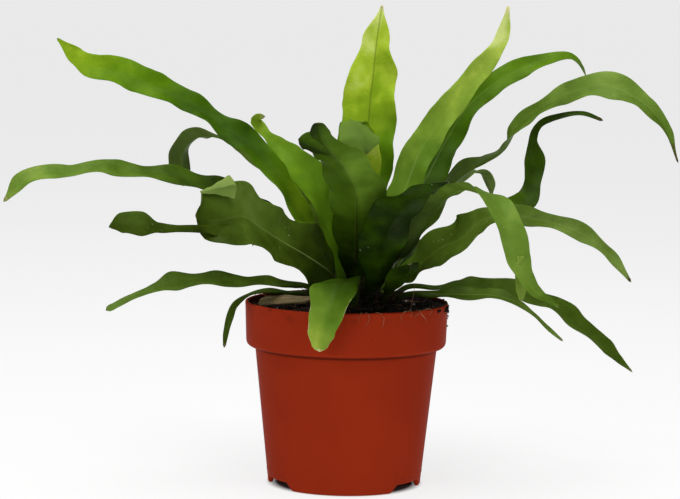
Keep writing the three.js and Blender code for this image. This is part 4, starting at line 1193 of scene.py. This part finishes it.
# painted shadow: the floor's glow stops under the pot, where the pot would shade it
glow_and_painted_shadow = add("MapRange", from_axis, From_Min=40 * MM, From_Max=47 * MM, To_Max=FLOOR_GLOW)
add("OutputMaterial", Surface=add("BsdfPrincipled", Base_Color=linear("#808080"), Roughness=0.9,
                                  Specular_IOR_Level=0.1, Emission_Color=linear("#ffffff"),
                                  Emission_Strength=glow_and_painted_shadow))
floor_mesh.materials.append(floor_paint)
floor = add_object("studio_floor", floor_mesh)


def aim_at(thing, place, target, roll=0):
    """Puts a light or a camera at a place, in metres, and turns its -Z axis to a target."""
    look = (Vector(target) - Vector(place)).to_track_quat("-Z", "Y")
    thing.location = place
    thing.rotation_mode = "QUATERNION"
    thing.rotation_quaternion = look @ Quaternion((0, 0, 1), roll)


PLANT_MIDDLE = (0, 0, 0.14)
# each soft box: its place and its width and height in metres, and its watts
SOFT_BOXES = {
    "overhead": ((-0.1, -0.25, 1.5), 1.4, 1.2, 22),
    "front_left": ((-0.95, -1.5, 0.75), 0.6, 1.1, 5.5),
    "front_right": ((1.15, -1.35, 0.7), 0.5, 1.1, 4.5),
}
for name, (place, width, height, watts) in SOFT_BOXES.items():
    light = bpy.data.lights.new(name, "AREA")
    light.shape, light.size, light.size_y, light.energy = "RECTANGLE", width, height, watts
    aim_at(add_object(name, light), place, PLANT_MIDDLE)

sky = bpy.data.worlds.new("even_sky")
sky.use_nodes = True
background = sky.node_tree.nodes["Background"]
background.inputs["Color"].default_value = linear("#ffffff")
background.inputs["Strength"].default_value = 0.15
bpy.context.scene.world = sky
bpy.context.scene.view_settings.view_transform = "Standard"

# %% [markdown]
# ## Camera
#
# The camera was fitted to the pot's rim, crease and foot: it stands 1.5 m in front, looks down a
# little from 292 mm, and is tilted by less than a degree.

# %% Camera
CAMERA_PLACE = (-4.4 * MM, -1500 * MM, 292 * MM)
CAMERA_AIM = (-4.4 * MM, 0, 139 * MM)
CAMERA_ROLL = math.radians(0.85)
FOCAL_LENGTH = 135.1
lens = bpy.data.cameras.new("photo_camera")
lens.lens, lens.sensor_width = FOCAL_LENGTH, 36
camera = add_object("photo_camera", lens)
aim_at(camera, CAMERA_PLACE, CAMERA_AIM, CAMERA_ROLL)
bpy.context.scene.camera = camera
